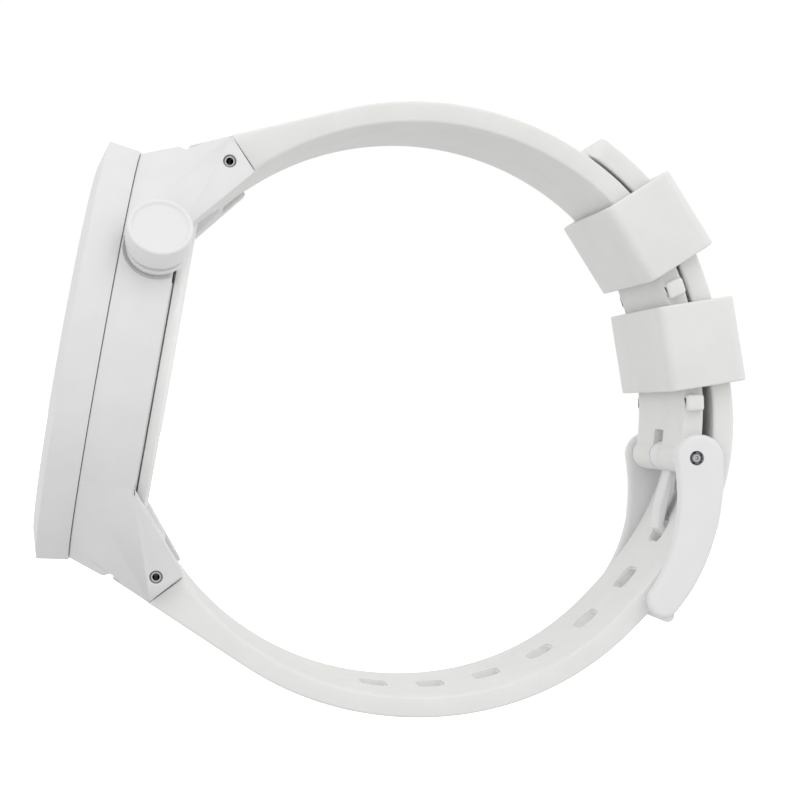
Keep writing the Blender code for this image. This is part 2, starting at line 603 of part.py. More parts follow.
def build_crown():
    tube = [
        (TUBE_BORE, TUBE_START),
        (TUBE_RADIUS, TUBE_START),
        (TUBE_RADIUS, CASE_RADIUS - 0.15 * MM),
        (TUBE_FLANGE_RADIUS, CASE_RADIUS - 0.15 * MM),
        (TUBE_FLANGE_RADIUS, CASE_RADIUS - 0.15 * MM + TUBE_FLANGE_THICKNESS),
        (TUBE_RADIUS, CASE_RADIUS - 0.15 * MM + TUBE_FLANGE_THICKNESS),
        (TUBE_RADIUS, TUBE_END),
        (TUBE_BORE, TUBE_END),
    ]
    add_object("crown_tube", turned(tube, SMALL_STEPS * 2), "white_crown", ON_CROWN)
    groove_top = CROWN_TOP - CROWN_GROOVE_FROM_TOP
    bore_end = CROWN_TOP - CROWN_WALL_TOP
    stem_bore = STEM_RADIUS + GAP
    crown = [
        (0, CROWN_TOP - CROWN_DISH),
        (CROWN_RADIUS - 2 * CROWN_RIM, CROWN_TOP - CROWN_DISH),
        (CROWN_RADIUS - CROWN_RIM - CROWN_GROOVE, CROWN_TOP),
        (CROWN_RADIUS - CROWN_GROOVE, CROWN_TOP),
        (CROWN_RADIUS, CROWN_TOP - CROWN_RIM / 2),
        (CROWN_RADIUS, groove_top + CROWN_GROOVE),
        (CROWN_RADIUS - CROWN_GROOVE, groove_top),
        (CROWN_RADIUS, groove_top - CROWN_GROOVE),
        (CROWN_RADIUS, CROWN_BASE + CROWN_GROOVE),
        (CROWN_RADIUS - CROWN_GROOVE, CROWN_BASE),
        (TUBE_RADIUS + GAP, CROWN_BASE),
        (TUBE_RADIUS + GAP, bore_end),
        (stem_bore, bore_end),
        (stem_bore, bore_end + CROWN_WALL_TOP / 2),
        (0, bore_end + CROWN_WALL_TOP / 2),
    ]
    add_object("crown", turned(crown, SMALL_STEPS * 2), "white_crown", ON_CROWN)
    stem_end = bore_end + CROWN_WALL_TOP / 2 - GAP
    add_object("stem", disc(STEM_RADIUS, STEM_START, stem_end, TINY_STEPS), "steel", ON_CROWN)
    seal = ring(STEM_RADIUS + GAP, TUBE_BORE - GAP, TUBE_END - 1.6 * MM, TUBE_END - 0.8 * MM, SMALL_STEPS)
    add_object("crown_gasket", seal, "black_rubber", ON_CROWN)


# ---------------------------------------------------------------- strap


def ease(value):
    """0 below 0, 1 above 1, and a smooth rise between them."""
    value = min(1.0, max(0.0, value))
    return value * value * (3 - 2 * value)


def upper_radius(angle):
    """The loop radius of the upper strap's middle at an angle."""
    return STRAP_RADIUS - STRAP_DIP * ease((STRAP_DIP_START - angle) / (STRAP_DIP_START - STRAP_DIP_END))


def lower_radius(angle):
    """The same for the lower strap. Below 0 it is the tail, which follows the upper strap at a distance."""
    clear_of_eye = EYE_CENTRE_RADIUS + EYE_RADIUS + TAIL_GAP + STRAP_THICKNESS / 2
    if angle >= 0:
        base = STRAP_RADIUS + LOWER_BULGE * ease((90 - angle) / 45)
        return base + (clear_of_eye - STRAP_RADIUS - LOWER_BULGE) * ease(
            (LOWER_LIFT_START - angle) / LOWER_LIFT_START
        )
    follow = STRAP_THICKNESS + TAIL_GAP
    start = clear_of_eye - upper_radius(0) - follow
    return upper_radius(-angle) + follow + start * (1 - ease(-angle / LOWER_LIFT_START))


def strap_points(radius_of, angle, side):
    """The inner and outer (Y, Z) points of the strap at an angle."""
    middle = radius_of(angle)
    outer = middle + STRAP_THICKNESS / 2
    if angle > STRAP_TANGENT_ANGLE:
        outer /= cos(radians(angle - STRAP_TANGENT_ANGLE))
    inner = middle - STRAP_THICKNESS / 2
    return [(y, side * z) for y, z in (polar(inner, angle), polar(outer, angle))]


def strap_sweep(stations, radius_of, side, rounding):
    """A bmesh swept through (angle, half width) stations, with rounded edges on its cross-section."""
    made = bmesh.new()
    loops = []
    for angle, half in stations:
        inner, outer = (Vector((0, *point)) for point in strap_points(radius_of, angle, side))
        across = Vector((half, 0, 0))
        corners = [inner - across, inner + across, outer + across, outer - across]
        loop = []
        for at, corner in enumerate(corners):
            before = (corners[at - 1] - corner).normalized() * rounding
            after = (corners[(at + 1) % 4] - corner).normalized() * rounding
            loop += [corner + before, corner + after]
        loops.append([made.verts.new(point) for point in loop])
    count = len(loops[0])
    for low, high in zip(loops, loops[1:]):
        for at in range(count):
            after = (at + 1) % count
            made.faces.new((low[at], low[after], high[after], high[at]))
    made.faces.new(list(reversed(loops[0])))
    made.faces.new(loops[-1])
    bmesh.ops.triangulate(made, faces=made.faces[:])
    return made


def stepped(breaks):
    """Breaks whose half width steps at an angle, as stations a hair apart, so that no step is flat."""
    hair = 0.12
    found = []
    for (start, half), (end, _) in zip(breaks, breaks[1:]):
        found += [(start - (hair if found else 0), half)]
        parts = max(1, ceil((start - end) / STRAP_STEP))
        found += [(start + (end - start) * at / parts, half) for at in range(1, parts)]
        found += [(end, half)]
    return found


def cross_slot(half_width, length, depth):
    """A slot cutter with rounded ends, long side along X, through the local Z direction."""
    round_by = length / 2 * 0.8
    inner_x = half_width - round_by
    inner_y = length / 2 - round_by
    outline = []
    for sign_x, sign_y, start in ((1, 1, 0), (-1, 1, 90), (-1, -1, 180), (1, -1, 270)):
        outline += arc((sign_x * inner_x, sign_y * inner_y), round_by, start, start + 90, 3)
    return prism(outline, -depth, depth)


def at_strap(radius, angle, side):
    """A matrix at a point of the loop: local Z is outwards, local Y along the strap and local X is X."""
    y, z = polar(radius, angle)
    turn = Matrix.Rotation(radians(side * angle) - pi / 2, 4, "X")
    return Matrix.Translation((0, y, side * z)) @ turn


def build_straps():
    narrow = LUG_SLOT_HALF_WIDTH - GAP
    wide = STRAP_HALF_WIDTH
    face = LUG_FACE_ANGLE - degrees(GAP / STRAP_RADIUS)
    breaks = [(STRAP_END_ANGLE, narrow), (face, wide)]
    for angle in STOP_ANGLES:
        breaks.append((angle + STOP_SPAN / 2, wide + STOP_HEIGHT))
        breaks.append((angle - STOP_SPAN / 2, wide))
    breaks.append((1.5, wide))
    upper = add_object("upper_strap", strap_sweep(stepped(breaks), upper_radius, 1, 0.35 * MM), "silicone")
    at_eye = Matrix.Translation((0, LOOP_CENTRE_Y + EYE_CENTRE_RADIUS, 0)) @ ON_WIDTH
    half = STRAP_HALF_WIDTH - 0.02 * MM
    join(upper, "strap_eye", disc(EYE_RADIUS, -half, half, SMALL_STEPS), at_eye)
    cut(upper, "strap_eye_hole", disc(EYE_HOLE_RADIUS, -20 * MM, 20 * MM, TINY_STEPS), at_eye)
    slot_half = TONGUE_HALF_WIDTH + GAP
    slot_top = EYE_CENTRE_RADIUS * sin(radians(EYE_SLOT_ANGLE))
    centre = LOOP_CENTRE_Y + EYE_CENTRE_RADIUS
    slot = box((-slot_half, centre - 5 * MM, -5 * MM), (slot_half, centre + 5 * MM, slot_top))
    cut(upper, "tongue_slot", slot)
    cut_pin_hole(upper, 1)

    lower_breaks = [(STRAP_END_ANGLE, narrow), (face, wide), (-TAIL_ANGLE, wide)]
    lower = add_object(
        "lower_strap", strap_sweep(stepped(lower_breaks), lower_radius, -1, 0.35 * MM), "silicone"
    )
    cut_pin_hole(lower, -1)
    for hole in range(-HOLES_ON_TAIL, HOLES_BEFORE_LUG):
        angle = HOLE_FIRST_ANGLE + HOLE_PITCH_ANGLE * hole
        place = at_strap(lower_radius(angle), angle, -1)
        cut(
            lower,
            f"strap_hole_{hole + HOLES_ON_TAIL}",
            cross_slot(HOLE_WIDTH / 2, HOLE_LENGTH, 3 * MM),
            place,
        )


def cut_pin_hole(strap, side):
    """The lug pin's hole through the strap's end."""
    place = Matrix.Translation((0, LUG_PIN_POINT[0], side * LUG_PIN_POINT[1])) @ ON_WIDTH
    cut(strap, strap.name + "_pin_hole", disc(LUG_PIN_HOLE_RADIUS, -20 * MM, 20 * MM, TINY_STEPS), place)


def build_keepers():
    for name, angle in zip(("keeper_upper", "keeper_lower"), KEEPER_ANGLES):
        inner_face = upper_radius(angle) - STRAP_THICKNESS / 2
        outer_face = lower_radius(-angle) + STRAP_THICKNESS / 2
        sag = (KEEPER_LENGTH / 2) ** 2 / (2 * STRAP_RADIUS)
        low = inner_face - GAP - sag - 0.1 * MM
        high = outer_face + GAP + 0.1 * MM
        slope = (upper_radius(angle + 5) - upper_radius(angle - 5)) / (radians(10) * upper_radius(angle))
        y, z = polar((low + high) / 2, angle)
        place = Matrix.Translation((0, y, z)) @ Matrix.Rotation(
            radians(angle) - pi / 2 - atan2(slope, 1), 4, "X"
        )
        half = STRAP_HALF_WIDTH + KEEPER_SIDE_GAP
        depth = (high - low) / 2
        length = KEEPER_LENGTH / 2
        outer = (half + KEEPER_SIDE_WALL, length, depth + KEEPER_WALL)
        block = box([-value for value in outer], outer)
        bmesh.ops.bevel(
            block, geom=block.edges[:], offset=KEEPER_ROUNDING, segments=2, affect="EDGES", profile=0.5
        )
        keeper = add_object(name, block, "silicone", place)
        cut(keeper, name + "_opening", box((-half, -length * 2, -depth), (half, length * 2, depth)), place)


def frame_outline():
    """The buckle side plate's outline: two round ends joined by curved, tapering edges, as (Y, Z) points."""
    steps = 12
    foot_radius, foot_angle = BUCKLE_FOOT_CENTRE
    start = EYE_CENTRE_RADIUS + BUCKLE_OUTSET
    centres = []
    for at in range(steps + 1):
        share = at / steps
        radius = start + (foot_radius - start) * sin(share * pi / 2)
        size = BUCKLE_TOP_RADIUS + (BUCKLE_FOOT_RADIUS - BUCKLE_TOP_RADIUS) * share
        centres.append((Vector(polar(radius, -foot_angle * share)), size))
    left, right = [], []
    for at, (centre, size) in enumerate(centres):
        before = centres[max(0, at - 1)][0]
        after = centres[min(steps, at + 1)][0]
        along = (after - before).normalized()
        side = Vector((-along.y, along.x))
        left.append(tuple(centre + side * size))
        right.append(tuple(centre - side * size))
    outline = list(right)
    for (end, size), first in ((centres[-1], right[-1]), (centres[0], left[0])):
        begin = degrees(atan2(first[1] - end.y, first[0] - end.x))
        points = arc(tuple(end), size, begin, begin + 180, 8)
        outline += points[1:-1]
        if end is centres[-1][0]:
            outline += list(reversed(left))
    return outline


def build_buckle():
    at_eye = Matrix.Translation((0, LOOP_CENTRE_Y + EYE_CENTRE_RADIUS, 0)) @ ON_WIDTH
    shift = Matrix.Translation((-(LOOP_CENTRE_Y + EYE_CENTRE_RADIUS), 0, 0))
    local = [tuple(shift @ Vector((y, z, 0)))[:2] for y, z in frame_outline()]
    frame = add_object(
        "buckle_frame", prism(local, BUCKLE_INNER_HALF_WIDTH, BUCKLE_OUTER_HALF_WIDTH), "white_crown", at_eye
    )
    join(frame, "frame_far_plate", prism(local, -BUCKLE_OUTER_HALF_WIDTH, -BUCKLE_INNER_HALF_WIDTH), at_eye)
    bar_y, bar_z = polar(CROSSBAR_CENTRE[0], -CROSSBAR_CENTRE[1])
    bar_half = (BUCKLE_INNER_HALF_WIDTH + BUCKLE_OUTER_HALF_WIDTH) / 2
    bar = disc(CROSSBAR_RADIUS, -bar_half, bar_half, TINY_STEPS)
    join(frame, "frame_crossbar", bar, Matrix.Translation((0, bar_y, bar_z)) @ ON_WIDTH)
    cut(frame, "frame_pin_hole", disc(EYE_HOLE_RADIUS, -20 * MM, 20 * MM, TINY_STEPS), at_eye)
    pin = disc(BUCKLE_PIN_RADIUS, -BUCKLE_PIN_HALF_LENGTH, BUCKLE_PIN_HALF_LENGTH, TINY_STEPS)
    add_object("buckle_pin", pin, "steel", at_eye)

    half = TONGUE_HALF_WIDTH
    hub = disc(EYE_RADIUS, -half, half, SMALL_STEPS)
    tongue = add_object("buckle_tongue", hub, "white_crown", at_eye)
    path = tongue_path()
    flat = []
    for at, point in enumerate(path):
        before = path[max(0, at - 1)]
        after = path[min(len(path) - 1, at + 1)]
        along = (after - before).normalized()
        flat.append((point, Vector((-along.y, along.x)) * TONGUE_THICKNESS / 2))
    outline = [tuple(point + side) for point, side in flat] + [
        tuple(point - side) for point, side in reversed(flat)
    ]
    local = [tuple(shift @ Vector((*point, 0)))[:2] for point in outline]
    join(tongue, "tongue_bar", prism(local, -half + 0.03 * MM, half - 0.03 * MM), at_eye)
    cut(tongue, "tongue_pin_hole", disc(EYE_HOLE_RADIUS, -20 * MM, 20 * MM, TINY_STEPS), at_eye)


def tongue_path():
    """The tongue's centre line: straight inside the strap, then out through the hole to the crossbar."""
    inside = EYE_CENTRE_RADIUS + TONGUE_OFFSET
    middle = lower_radius(HOLE_FIRST_ANGLE)
    outside = middle + STRAP_THICKNESS / 2 + TONGUE_THICKNESS / 2 + 0.45 * MM
    bar_radius, bar_angle = CROSSBAR_CENTRE
    stop = bar_angle - degrees((CROSSBAR_RADIUS + GAP + 0.1 * MM) / bar_radius)
    points = [
        polar(inside, -0.5),
        polar(inside, -HOLE_FIRST_ANGLE + 4.0),
        polar(middle - STRAP_THICKNESS * 0.7, -HOLE_FIRST_ANGLE + 0.6),
        polar(middle + STRAP_THICKNESS * 0.7, -HOLE_FIRST_ANGLE - 0.9),
        polar(outside, -HOLE_FIRST_ANGLE - 3.6),
        polar(outside + 0.05 * MM, -stop),
    ]
    return [Vector(point) for point in points]


# ---------------------------------------------------------------- dial and movement


def hand(name, length, width, pipe_radius, pipe_bore, depth, pipe_rear, angle, tail):
    """A hand with its pipe, pointing to 12 o'clock before it is turned. Its origin is the hands' axis."""
    outline = [(-width / 2, -tail), (width / 2, -tail), (width / 2, length - width / 2), (0, length)]
    outline.append((-width / 2, length - width / 2))
    made = add_object(
        name, prism(outline, depth, depth + HAND_THICKNESS), "grey_metal", on_depth(turn=angle)
    )
    hub = disc(max(pipe_radius * 1.6, width * 0.9), depth, depth + HAND_THICKNESS, SMALL_STEPS)
    join(made, name + "_hub", hub, on_depth(turn=angle))
    pipe = disc(pipe_radius, pipe_rear, depth + HAND_THICKNESS / 2, SMALL_STEPS)
    join(made, name + "_pipe", pipe, on_depth(turn=angle))
    if pipe_bore:
        bore = disc(pipe_bore, pipe_rear - MM, depth + MM, TINY_STEPS)
        cut(made, name + "_bore", bore, on_depth(turn=angle))
    return made


def toothed(teeth, radius, level, bore=0.0, height=TOOTH_HEIGHT):
    """A wheel about local Z, with plain pointed teeth. radius is the tip radius."""
    outline = []
    for tooth in range(teeth):
        for share, at in ((0.0, radius - height), (0.5, radius)):
            angle = 2 * pi * (tooth + share) / teeth
            outline.append((at * cos(angle), at * sin(angle)))
    made = bmesh.new()
    low = level - WHEEL_THICKNESS / 2
    rims = [[made.verts.new((a, b, low + up)) for a, b in outline] for up in (0, WHEEL_THICKNESS)]
    count = len(outline)
    if bore:
        holes = []
        for up in (0, WHEEL_THICKNESS):
            turns = [2 * pi * (at + 0.4) / count for at in range(count)]
            holes.append([made.verts.new((bore * cos(turn), bore * sin(turn), low + up)) for turn in turns])
    for at in range(count):
        after = (at + 1) % count
        made.faces.new((rims[0][at], rims[0][after], rims[1][after], rims[1][at]))
        if bore:
            made.faces.new((holes[0][after], holes[0][at], holes[1][at], holes[1][after]))
            made.faces.new((rims[0][after], rims[0][at], holes[0][at], holes[0][after]))
            made.faces.new((rims[1][at], rims[1][after], holes[1][after], holes[1][at]))
    if not bore:
        made.faces.new(list(reversed(rims[0])))
        made.faces.new(rims[1])
    return made


def wheel(name, place, wheel_size, pinion_size, arbor, finish="brass", bore=0.0):
    """A wheel and its pinion on one arbor, or on one pipe when a bore is given.

    place is (x, z), a size is (teeth, tip radius, level) and arbor is (radius, rear depth, front depth).
    """
    at = on_depth(*place)
    made = add_object(name, disc(arbor[0], arbor[1], arbor[2], TINY_STEPS), finish, at)
    for part, size in (("rim", wheel_size), ("pinion", pinion_size)):
        if size:
            teeth, radius, level = size
            join(made, name + "_" + part, toothed(teeth, radius, level), at)
    if bore:
        cut(made, name + "_bore", disc(bore, arbor[1] - MM, arbor[2] + MM, TINY_STEPS), at)
    return made


def out_from(place, angle, distance):
    """The (x, z) point that lies a distance from another, at an angle from +X in degrees."""
    return (place[0] + distance * cos(radians(angle)), place[1] + distance * sin(radians(angle)))


HOUR_WHEEL = CANNON_PINION + MINUTE_WHEEL - MINUTE_PINION
THIRD_AT = out_from((0, 0), THIRD_BEARING, CENTRE_WHEEL + THIRD_PINION + TRAIN_GAP)
INTERMEDIATE_AT = out_from((0, 0), INTERMEDIATE_BEARING, FOURTH_WHEEL + INTERMEDIATE_PINION + TRAIN_GAP)
ROTOR_AT = out_from(INTERMEDIATE_AT, ROTOR_BEARING, INTERMEDIATE_WHEEL + ROTOR_PINION + TRAIN_GAP)
MINUTE_AT = out_from((0, 0), MINUTE_BEARING, CANNON_PINION + MINUTE_WHEEL + TRAIN_GAP)


def build_dial():
    dial = add_object("dial", disc(DIAL_RADIUS, DIAL_REAR, DIAL_FRONT), "dial_white", ON_DEPTH)
    cut(dial, "dial_hole", disc(HOUR_PIPE_RADIUS + GAP, 6 * MM, 8 * MM, SMALL_STEPS), ON_DEPTH)
    rear = DIAL_FRONT + GAP
    marker_end = MARKER_RING_RADIUS - MARKER_LENGTH
    markers = ring(MARKER_RING_RADIUS - 0.4 * MM, MARKER_RING_RADIUS, rear, rear + MARKER_THICKNESS)
    made = add_object("hour_marker_ring", markers, "grey_metal", ON_DEPTH)
    for hour in range(12):
        half = MARKER_WIDTH / 2 if hour % 3 == 0 else MARKER_WIDTH / 3
        baton = box(
            (-half, marker_end, rear), (half, MARKER_RING_RADIUS - 0.2 * MM, rear + MARKER_THICKNESS)
        )
        join(made, f"baton_{hour}", baton, on_depth(turn=hour * pi / 6))


def build_hands():
    hour_rear = MINUTE_TRAIN_LEVEL - WHEEL_THICKNESS / 2
    hour_pipe = (HOUR_PIPE_RADIUS, HOUR_PIPE_BORE)
    hour = hand(
        "hour_hand", HOUR_HAND_LENGTH, HOUR_HAND_WIDTH, *hour_pipe, HOUR_HAND_DEPTH, hour_rear, HOUR_ANGLE, 0
    )
    join(hour, "hour_wheel", toothed(HOUR_TEETH, HOUR_WHEEL, MINUTE_TRAIN_LEVEL), on_depth(turn=HOUR_ANGLE))
    bore = disc(HOUR_PIPE_BORE, hour_rear - MM, HOUR_HAND_DEPTH + MM, TINY_STEPS)
    cut(hour, "hour_wheel_bore", bore, on_depth(turn=HOUR_ANGLE))


# ---------------------------------------------------------------- the inside of the movement


def build_movement():
    outside = ring(MOVEMENT_RADIUS + GAP, BACK_PLUG_RADIUS, HOLDER_REAR, HOLDER_FRONT)
    holder = add_object("movement_holder", outside, "natural_plastic", ON_DEPTH)
    stem_way = disc(STEM_RADIUS + GAP, STEM_START, CASE_RADIUS, TINY_STEPS)
    cut(holder, "holder_stem_hole", stem_way, ON_CROWN)

    body = disc(MOVEMENT_RADIUS, PLATE_REAR, PLATE_FRONT)
    plate = add_object("main_plate", body, "grey_metal", ON_DEPTH)
    cut(plate, "plate_centre_hole", disc(CENTRE_PIPE_RADIUS + GAP, 0, CUT_REACH, SMALL_STEPS), ON_DEPTH)
    bridge = add_object(
        "train_bridge", prism(bridge_outline(), BRIDGE_REAR, BRIDGE_FRONT), "grey_metal", ON_DEPTH
    )
    axes = [("third", THIRD_AT), ("rotor", ROTOR_AT), ("intermediate", INTERMEDIATE_AT)]
    for name, place in axes + [("minute", MINUTE_AT)]:
        cut(
            plate, "plate_hole_" + name, disc(ARBOR_RADIUS + GAP, 0, CUT_REACH, TINY_STEPS), on_depth(*place)
        )
    for number, place in enumerate(BRIDGE_POSTS):
        post = disc(POST_RADIUS, (BRIDGE_REAR + BRIDGE_FRONT) / 2, PLATE_REAR - GAP, TINY_STEPS)
        join(bridge, f"bridge_post_{number}", post, on_depth(*place))
        for target in (bridge, plate):
            hole = disc(SCREW_RADIUS + GAP, 0, CUT_REACH, TINY_STEPS)
            cut(target, f"{target.name}_screw_hole_{number}", hole, on_depth(*place))
        build_screw(number, place)
    for name, place in axes + [("fourth", (0, 0))]:
        cut(
            bridge,
            "bridge_hole_" + name,
            disc(ARBOR_RADIUS + GAP, 0, CUT_REACH, TINY_STEPS),
            on_depth(*place),
        )
    build_train()
    build_electric()
    build_setting()


def build_screw(number, place):
    """One slotted screw through the train bridge and into the main plate."""
    head_front = BRIDGE_REAR - GAP
    screw = disc(SCREW_RADIUS, head_front - SCREW_HEAD / 4, PLATE_FRONT - SCREW_HEAD / 2, TINY_STEPS)
    made = add_object(f"movement_screw_{number + 1}", screw, "steel", on_depth(*place))
    head = disc(POST_RADIUS, head_front - SCREW_HEAD, head_front, TINY_STEPS)
    join(made, f"screw_head_{number}", head, on_depth(*place))
    across = 2 * POST_RADIUS
    low = (-across, -SCREW_SLOT_HALF_WIDTH, 0)
    slot = box(low, (across, SCREW_SLOT_HALF_WIDTH, head_front - SCREW_HEAD / 2))
    cut(made, f"screw_slot_{number}", slot, on_depth(*place))


def bridge_outline():
    """The train bridge: straight sides between round ends about its posts, as (x, z) points."""
    (left_x, left_z), (right_x, right_z), (top_x, top_z) = BRIDGE_POSTS
    reach = POST_RADIUS * 1.5
    outline = arc((left_x, left_z), reach, 120, 250, 5)
    outline += arc((0, 0), reach * 1.3, 240, 290, 3)
    outline += arc((right_x, right_z), reach, -80, 60, 5)
    outline += arc((top_x, top_z), reach, 20, 140, 5)
    return outline


def build_train():
    wheel_top = BRIDGE_FRONT - 0.1 * MM
    arbor_rear = wheel_top - 0.3 * MM
    centre = (CENTRE_TEETH, CENTRE_WHEEL, CENTRE_LEVEL)
    cannon = (CANNON_TEETH, CANNON_PINION, CANNON_LEVEL)
    front = MINUTE_HAND_DEPTH + HAND_THICKNESS
    hand_pipe = (CENTRE_PIPE_RADIUS, CENTRE_LEVEL - WHEEL_THICKNESS / 2, front)
    minute = wheel("minute_hand", (0, 0), centre, cannon, hand_pipe, "grey_metal")
    turn = on_depth(turn=MINUTE_ANGLE)
    half = MINUTE_HAND_WIDTH / 2
    outline = [(-half, 0), (half, 0), (half, MINUTE_HAND_LENGTH - half), (0, MINUTE_HAND_LENGTH)]
    outline.append((-half, MINUTE_HAND_LENGTH - half))
    low = MINUTE_HAND_DEPTH - 2 * HAIR
    join(minute, "minute_blade", prism(outline, low, low + HAND_THICKNESS), turn)
    hub = disc(MINUTE_HUB_RADIUS, low + HAIR, low + HAIR + HAND_THICKNESS, SMALL_STEPS)
    join(minute, "minute_hub", hub, turn)
    cut(minute, "minute_bore", disc(CENTRE_PIPE_BORE, 0, CUT_REACH, TINY_STEPS), turn)

    fourth = (FOURTH_TEETH, FOURTH_WHEEL, FOURTH_LEVEL)
    pinion = (FOURTH_PINION_TEETH, FOURTH_PINION, THIRD_LEVEL)
    arbor = (SECOND_PIPE_RADIUS, arbor_rear, SECOND_HAND_DEPTH + HAND_THICKNESS)
    second = wheel("second_hand", (0, 0), fourth, pinion, arbor, "grey_metal")
    turn = on_depth(turn=SECOND_ANGLE)
    half = SECOND_HAND_WIDTH / 2
    low = SECOND_HAND_DEPTH - 2 * HAIR
    high = SECOND_HAND_DEPTH + SECOND_HAND_THICKNESS
    join(
        second, "second_blade", box((-half, -SECOND_HAND_TAIL, low), (half, SECOND_HAND_LENGTH, high)), turn
    )
    join(second, "second_hub", disc(SECOND_HUB_RADIUS, low + HAIR, high + 2 * HAIR, SMALL_STEPS), turn)

    arbor = (ARBOR_RADIUS, arbor_rear, PLATE_REAR + ARBOR_END)
    third = (THIRD_TEETH, THIRD_WHEEL, THIRD_LEVEL)
    wheel("third_wheel", THIRD_AT, third, (THIRD_PINION_TEETH, THIRD_PINION, CENTRE_LEVEL), arbor)
    middle = (INTERMEDIATE_TEETH, INTERMEDIATE_WHEEL, THIRD_LEVEL)
    pinion = (INTERMEDIATE_PINION_TEETH, INTERMEDIATE_PINION, FOURTH_LEVEL)
    wheel("intermediate_wheel", INTERMEDIATE_AT, middle, pinion, arbor, "natural_plastic")
    pinion = (ROTOR_PINION_TEETH, ROTOR_PINION, THIRD_LEVEL)
    rotor = wheel("rotor", ROTOR_AT, pinion, None, arbor, "dark_plastic")
    magnet = disc(
        ROTOR_RADIUS, CENTRE_LEVEL - WHEEL_THICKNESS / 2, CENTRE_LEVEL + ROTOR_MAGNET_FRONT, SMALL_STEPS
    )
    join(rotor, "rotor_magnet", magnet, on_depth(*ROTOR_AT))
    arbor = (ARBOR_RADIUS, PLATE_FRONT - ARBOR_END, MINUTE_TRAIN_LEVEL + MINUTE_ARBOR_PAST)
    rim = (MINUTE_TEETH, MINUTE_WHEEL, CANNON_LEVEL)
    wheel("minute_wheel", MINUTE_AT, rim, (MINUTE_PINION_TEETH, MINUTE_PINION, MINUTE_TRAIN_LEVEL), arbor)


def build_electric():
    battery_at = on_depth(z=-HATCH_OFFSET)
    battery = [
        (0, BATTERY_REAR),
        (BATTERY_RADIUS, BATTERY_REAR),
        (BATTERY_RADIUS, BATTERY_FRONT - 0.5 * MM),
        (BATTERY_RADIUS - 0.7 * MM, BATTERY_FRONT),
        (0, BATTERY_FRONT),
    ]
    add_object("battery", turned(battery, SMALL_STEPS * 2), "steel", battery_at)
    side = BATTERY_RADIUS + GAP
    outline = arc((0, 0), side, 150, 210, 6)
    outline += arc((0, 0), side + BATTERY_SPRING_THICKNESS, 210, 150, 6)
    add_object("battery_spring", prism(outline, BATTERY_REAR + GAP, BATTERY_FRONT), "brass", battery_at)

    middle = PLATE_REAR - GAP - COIL_RADIUS
    turn = Matrix.Rotation(radians(COIL_BEARING), 4, "Y")
    along = Matrix.Translation((COIL_AT[0], -middle, COIL_AT[1])) @ turn @ ON_WIDTH
    half = COIL_LENGTH / 2
    coil = [
        (0, -half - COIL_CORE_END),
        (COIL_CORE_RADIUS, -half - COIL_CORE_END),
        (COIL_CORE_RADIUS, -half),
        (COIL_RADIUS, -half),
        (COIL_RADIUS, half),
        (COIL_CORE_RADIUS, half),
        (COIL_CORE_RADIUS, half + COIL_CORE_END),
        (0, half + COIL_CORE_END),
    ]
    add_object("coil", turned(coil, TINY_STEPS), "copper", along)

    inner = ROTOR_RADIUS + GAP
    low = CENTRE_LEVEL - WHEEL_THICKNESS / 2
    stator = ring(inner, inner + STATOR_WIDTH, low, PLATE_REAR - GAP, SMALL_STEPS)
    add_object("stator", stator, "steel", on_depth(*ROTOR_AT))

    board = arc((0, 0), MOVEMENT_RADIUS - 0.4 * MM, -25, 15, 8) + list(BOARD_CORNERS)
    add_object("circuit_board", prism(board, BOARD_REAR, BOARD_FRONT), "circuit_green", ON_DEPTH)
    low = BOARD_FRONT + GAP
    add_object("chip", box((*CHIP_LOW, low), (*CHIP_HIGH, low + CHIP_THICKNESS)), "dark_plastic", ON_DEPTH)
    can = Matrix.Translation((CAN_AT[0], -(low + CAN_RADIUS), CAN_AT[1])) @ ON_DEPTH @ Matrix.Rotation(
        pi / 2, 4, "X"
    )
    add_object("quartz_can", disc(CAN_RADIUS, -CAN_HALF_LENGTH, CAN_HALF_LENGTH, TINY_STEPS), "steel", can)


def build_setting():
    start = STEM_START + SLIDING_PINION_START
    pinion = disc(SLIDING_PINION_RADIUS, start, start + SLIDING_PINION_LENGTH, TINY_STEPS)
    sliding = add_object("sliding_pinion", pinion, "brass", ON_CROWN)
    bore = disc(STEM_RADIUS + GAP / 2, 0, CUT_REACH, TINY_STEPS)
    cut(sliding, "sliding_pinion_bore", bore, ON_CROWN)
    along = Vector((cos(CROWN_ANGLE), 0, sin(CROWN_ANGLE)))
    across = Vector((-sin(CROWN_ANGLE), 0, cos(CROWN_ANGLE)))
    pivot = along * LEVER_PIVOT[0] + across * LEVER_PIVOT[1]
    rear = STEM_DEPTH - STEM_RADIUS - GAP
    hub = disc(LEVER_HUB_RADIUS, rear - LEVER_THICKNESS, rear, TINY_STEPS)
    lever = add_object("setting_lever", hub, "steel", on_depth(pivot.x, pivot.z))
    low = (-LEVER_HALF_WIDTH, -LEVER_PIVOT[1] - LEVER_HALF_WIDTH, rear - LEVER_THICKNESS + 2 * HAIR)
    blade = box(low, (LEVER_HALF_WIDTH, 0, rear - 2 * HAIR))
    join(lever, "lever_blade", blade, on_depth(pivot.x, pivot.z, 0, -CROWN_ANGLE))


def clear_scene():
    """Removes every object of the scene that the script starts in."""
    for old in list(bpy.data.objects):
        bpy.data.objects.remove(old)


def main():
    clear_scene()
    build_case()
    build_bezel()
    build_back()
    build_crown()
    build_straps()
    build_keepers()
    build_buckle()
    build_dial()
    build_hands()
    build_movement()


main()
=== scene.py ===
"""Look of a white analogue wristwatch whose silicone strap is buckled into a loop.

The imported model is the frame. Each visible part is modelled again in detail in the place of its
CAD node, and the movement's own parts keep their shapes and take a finish. Units are metres. The
dial faces -Y, 12 o'clock is +Z, the crown is on the +X side, and the origin is the middle of the
case back's outer face. Depth is measured from there towards the dial.
"""

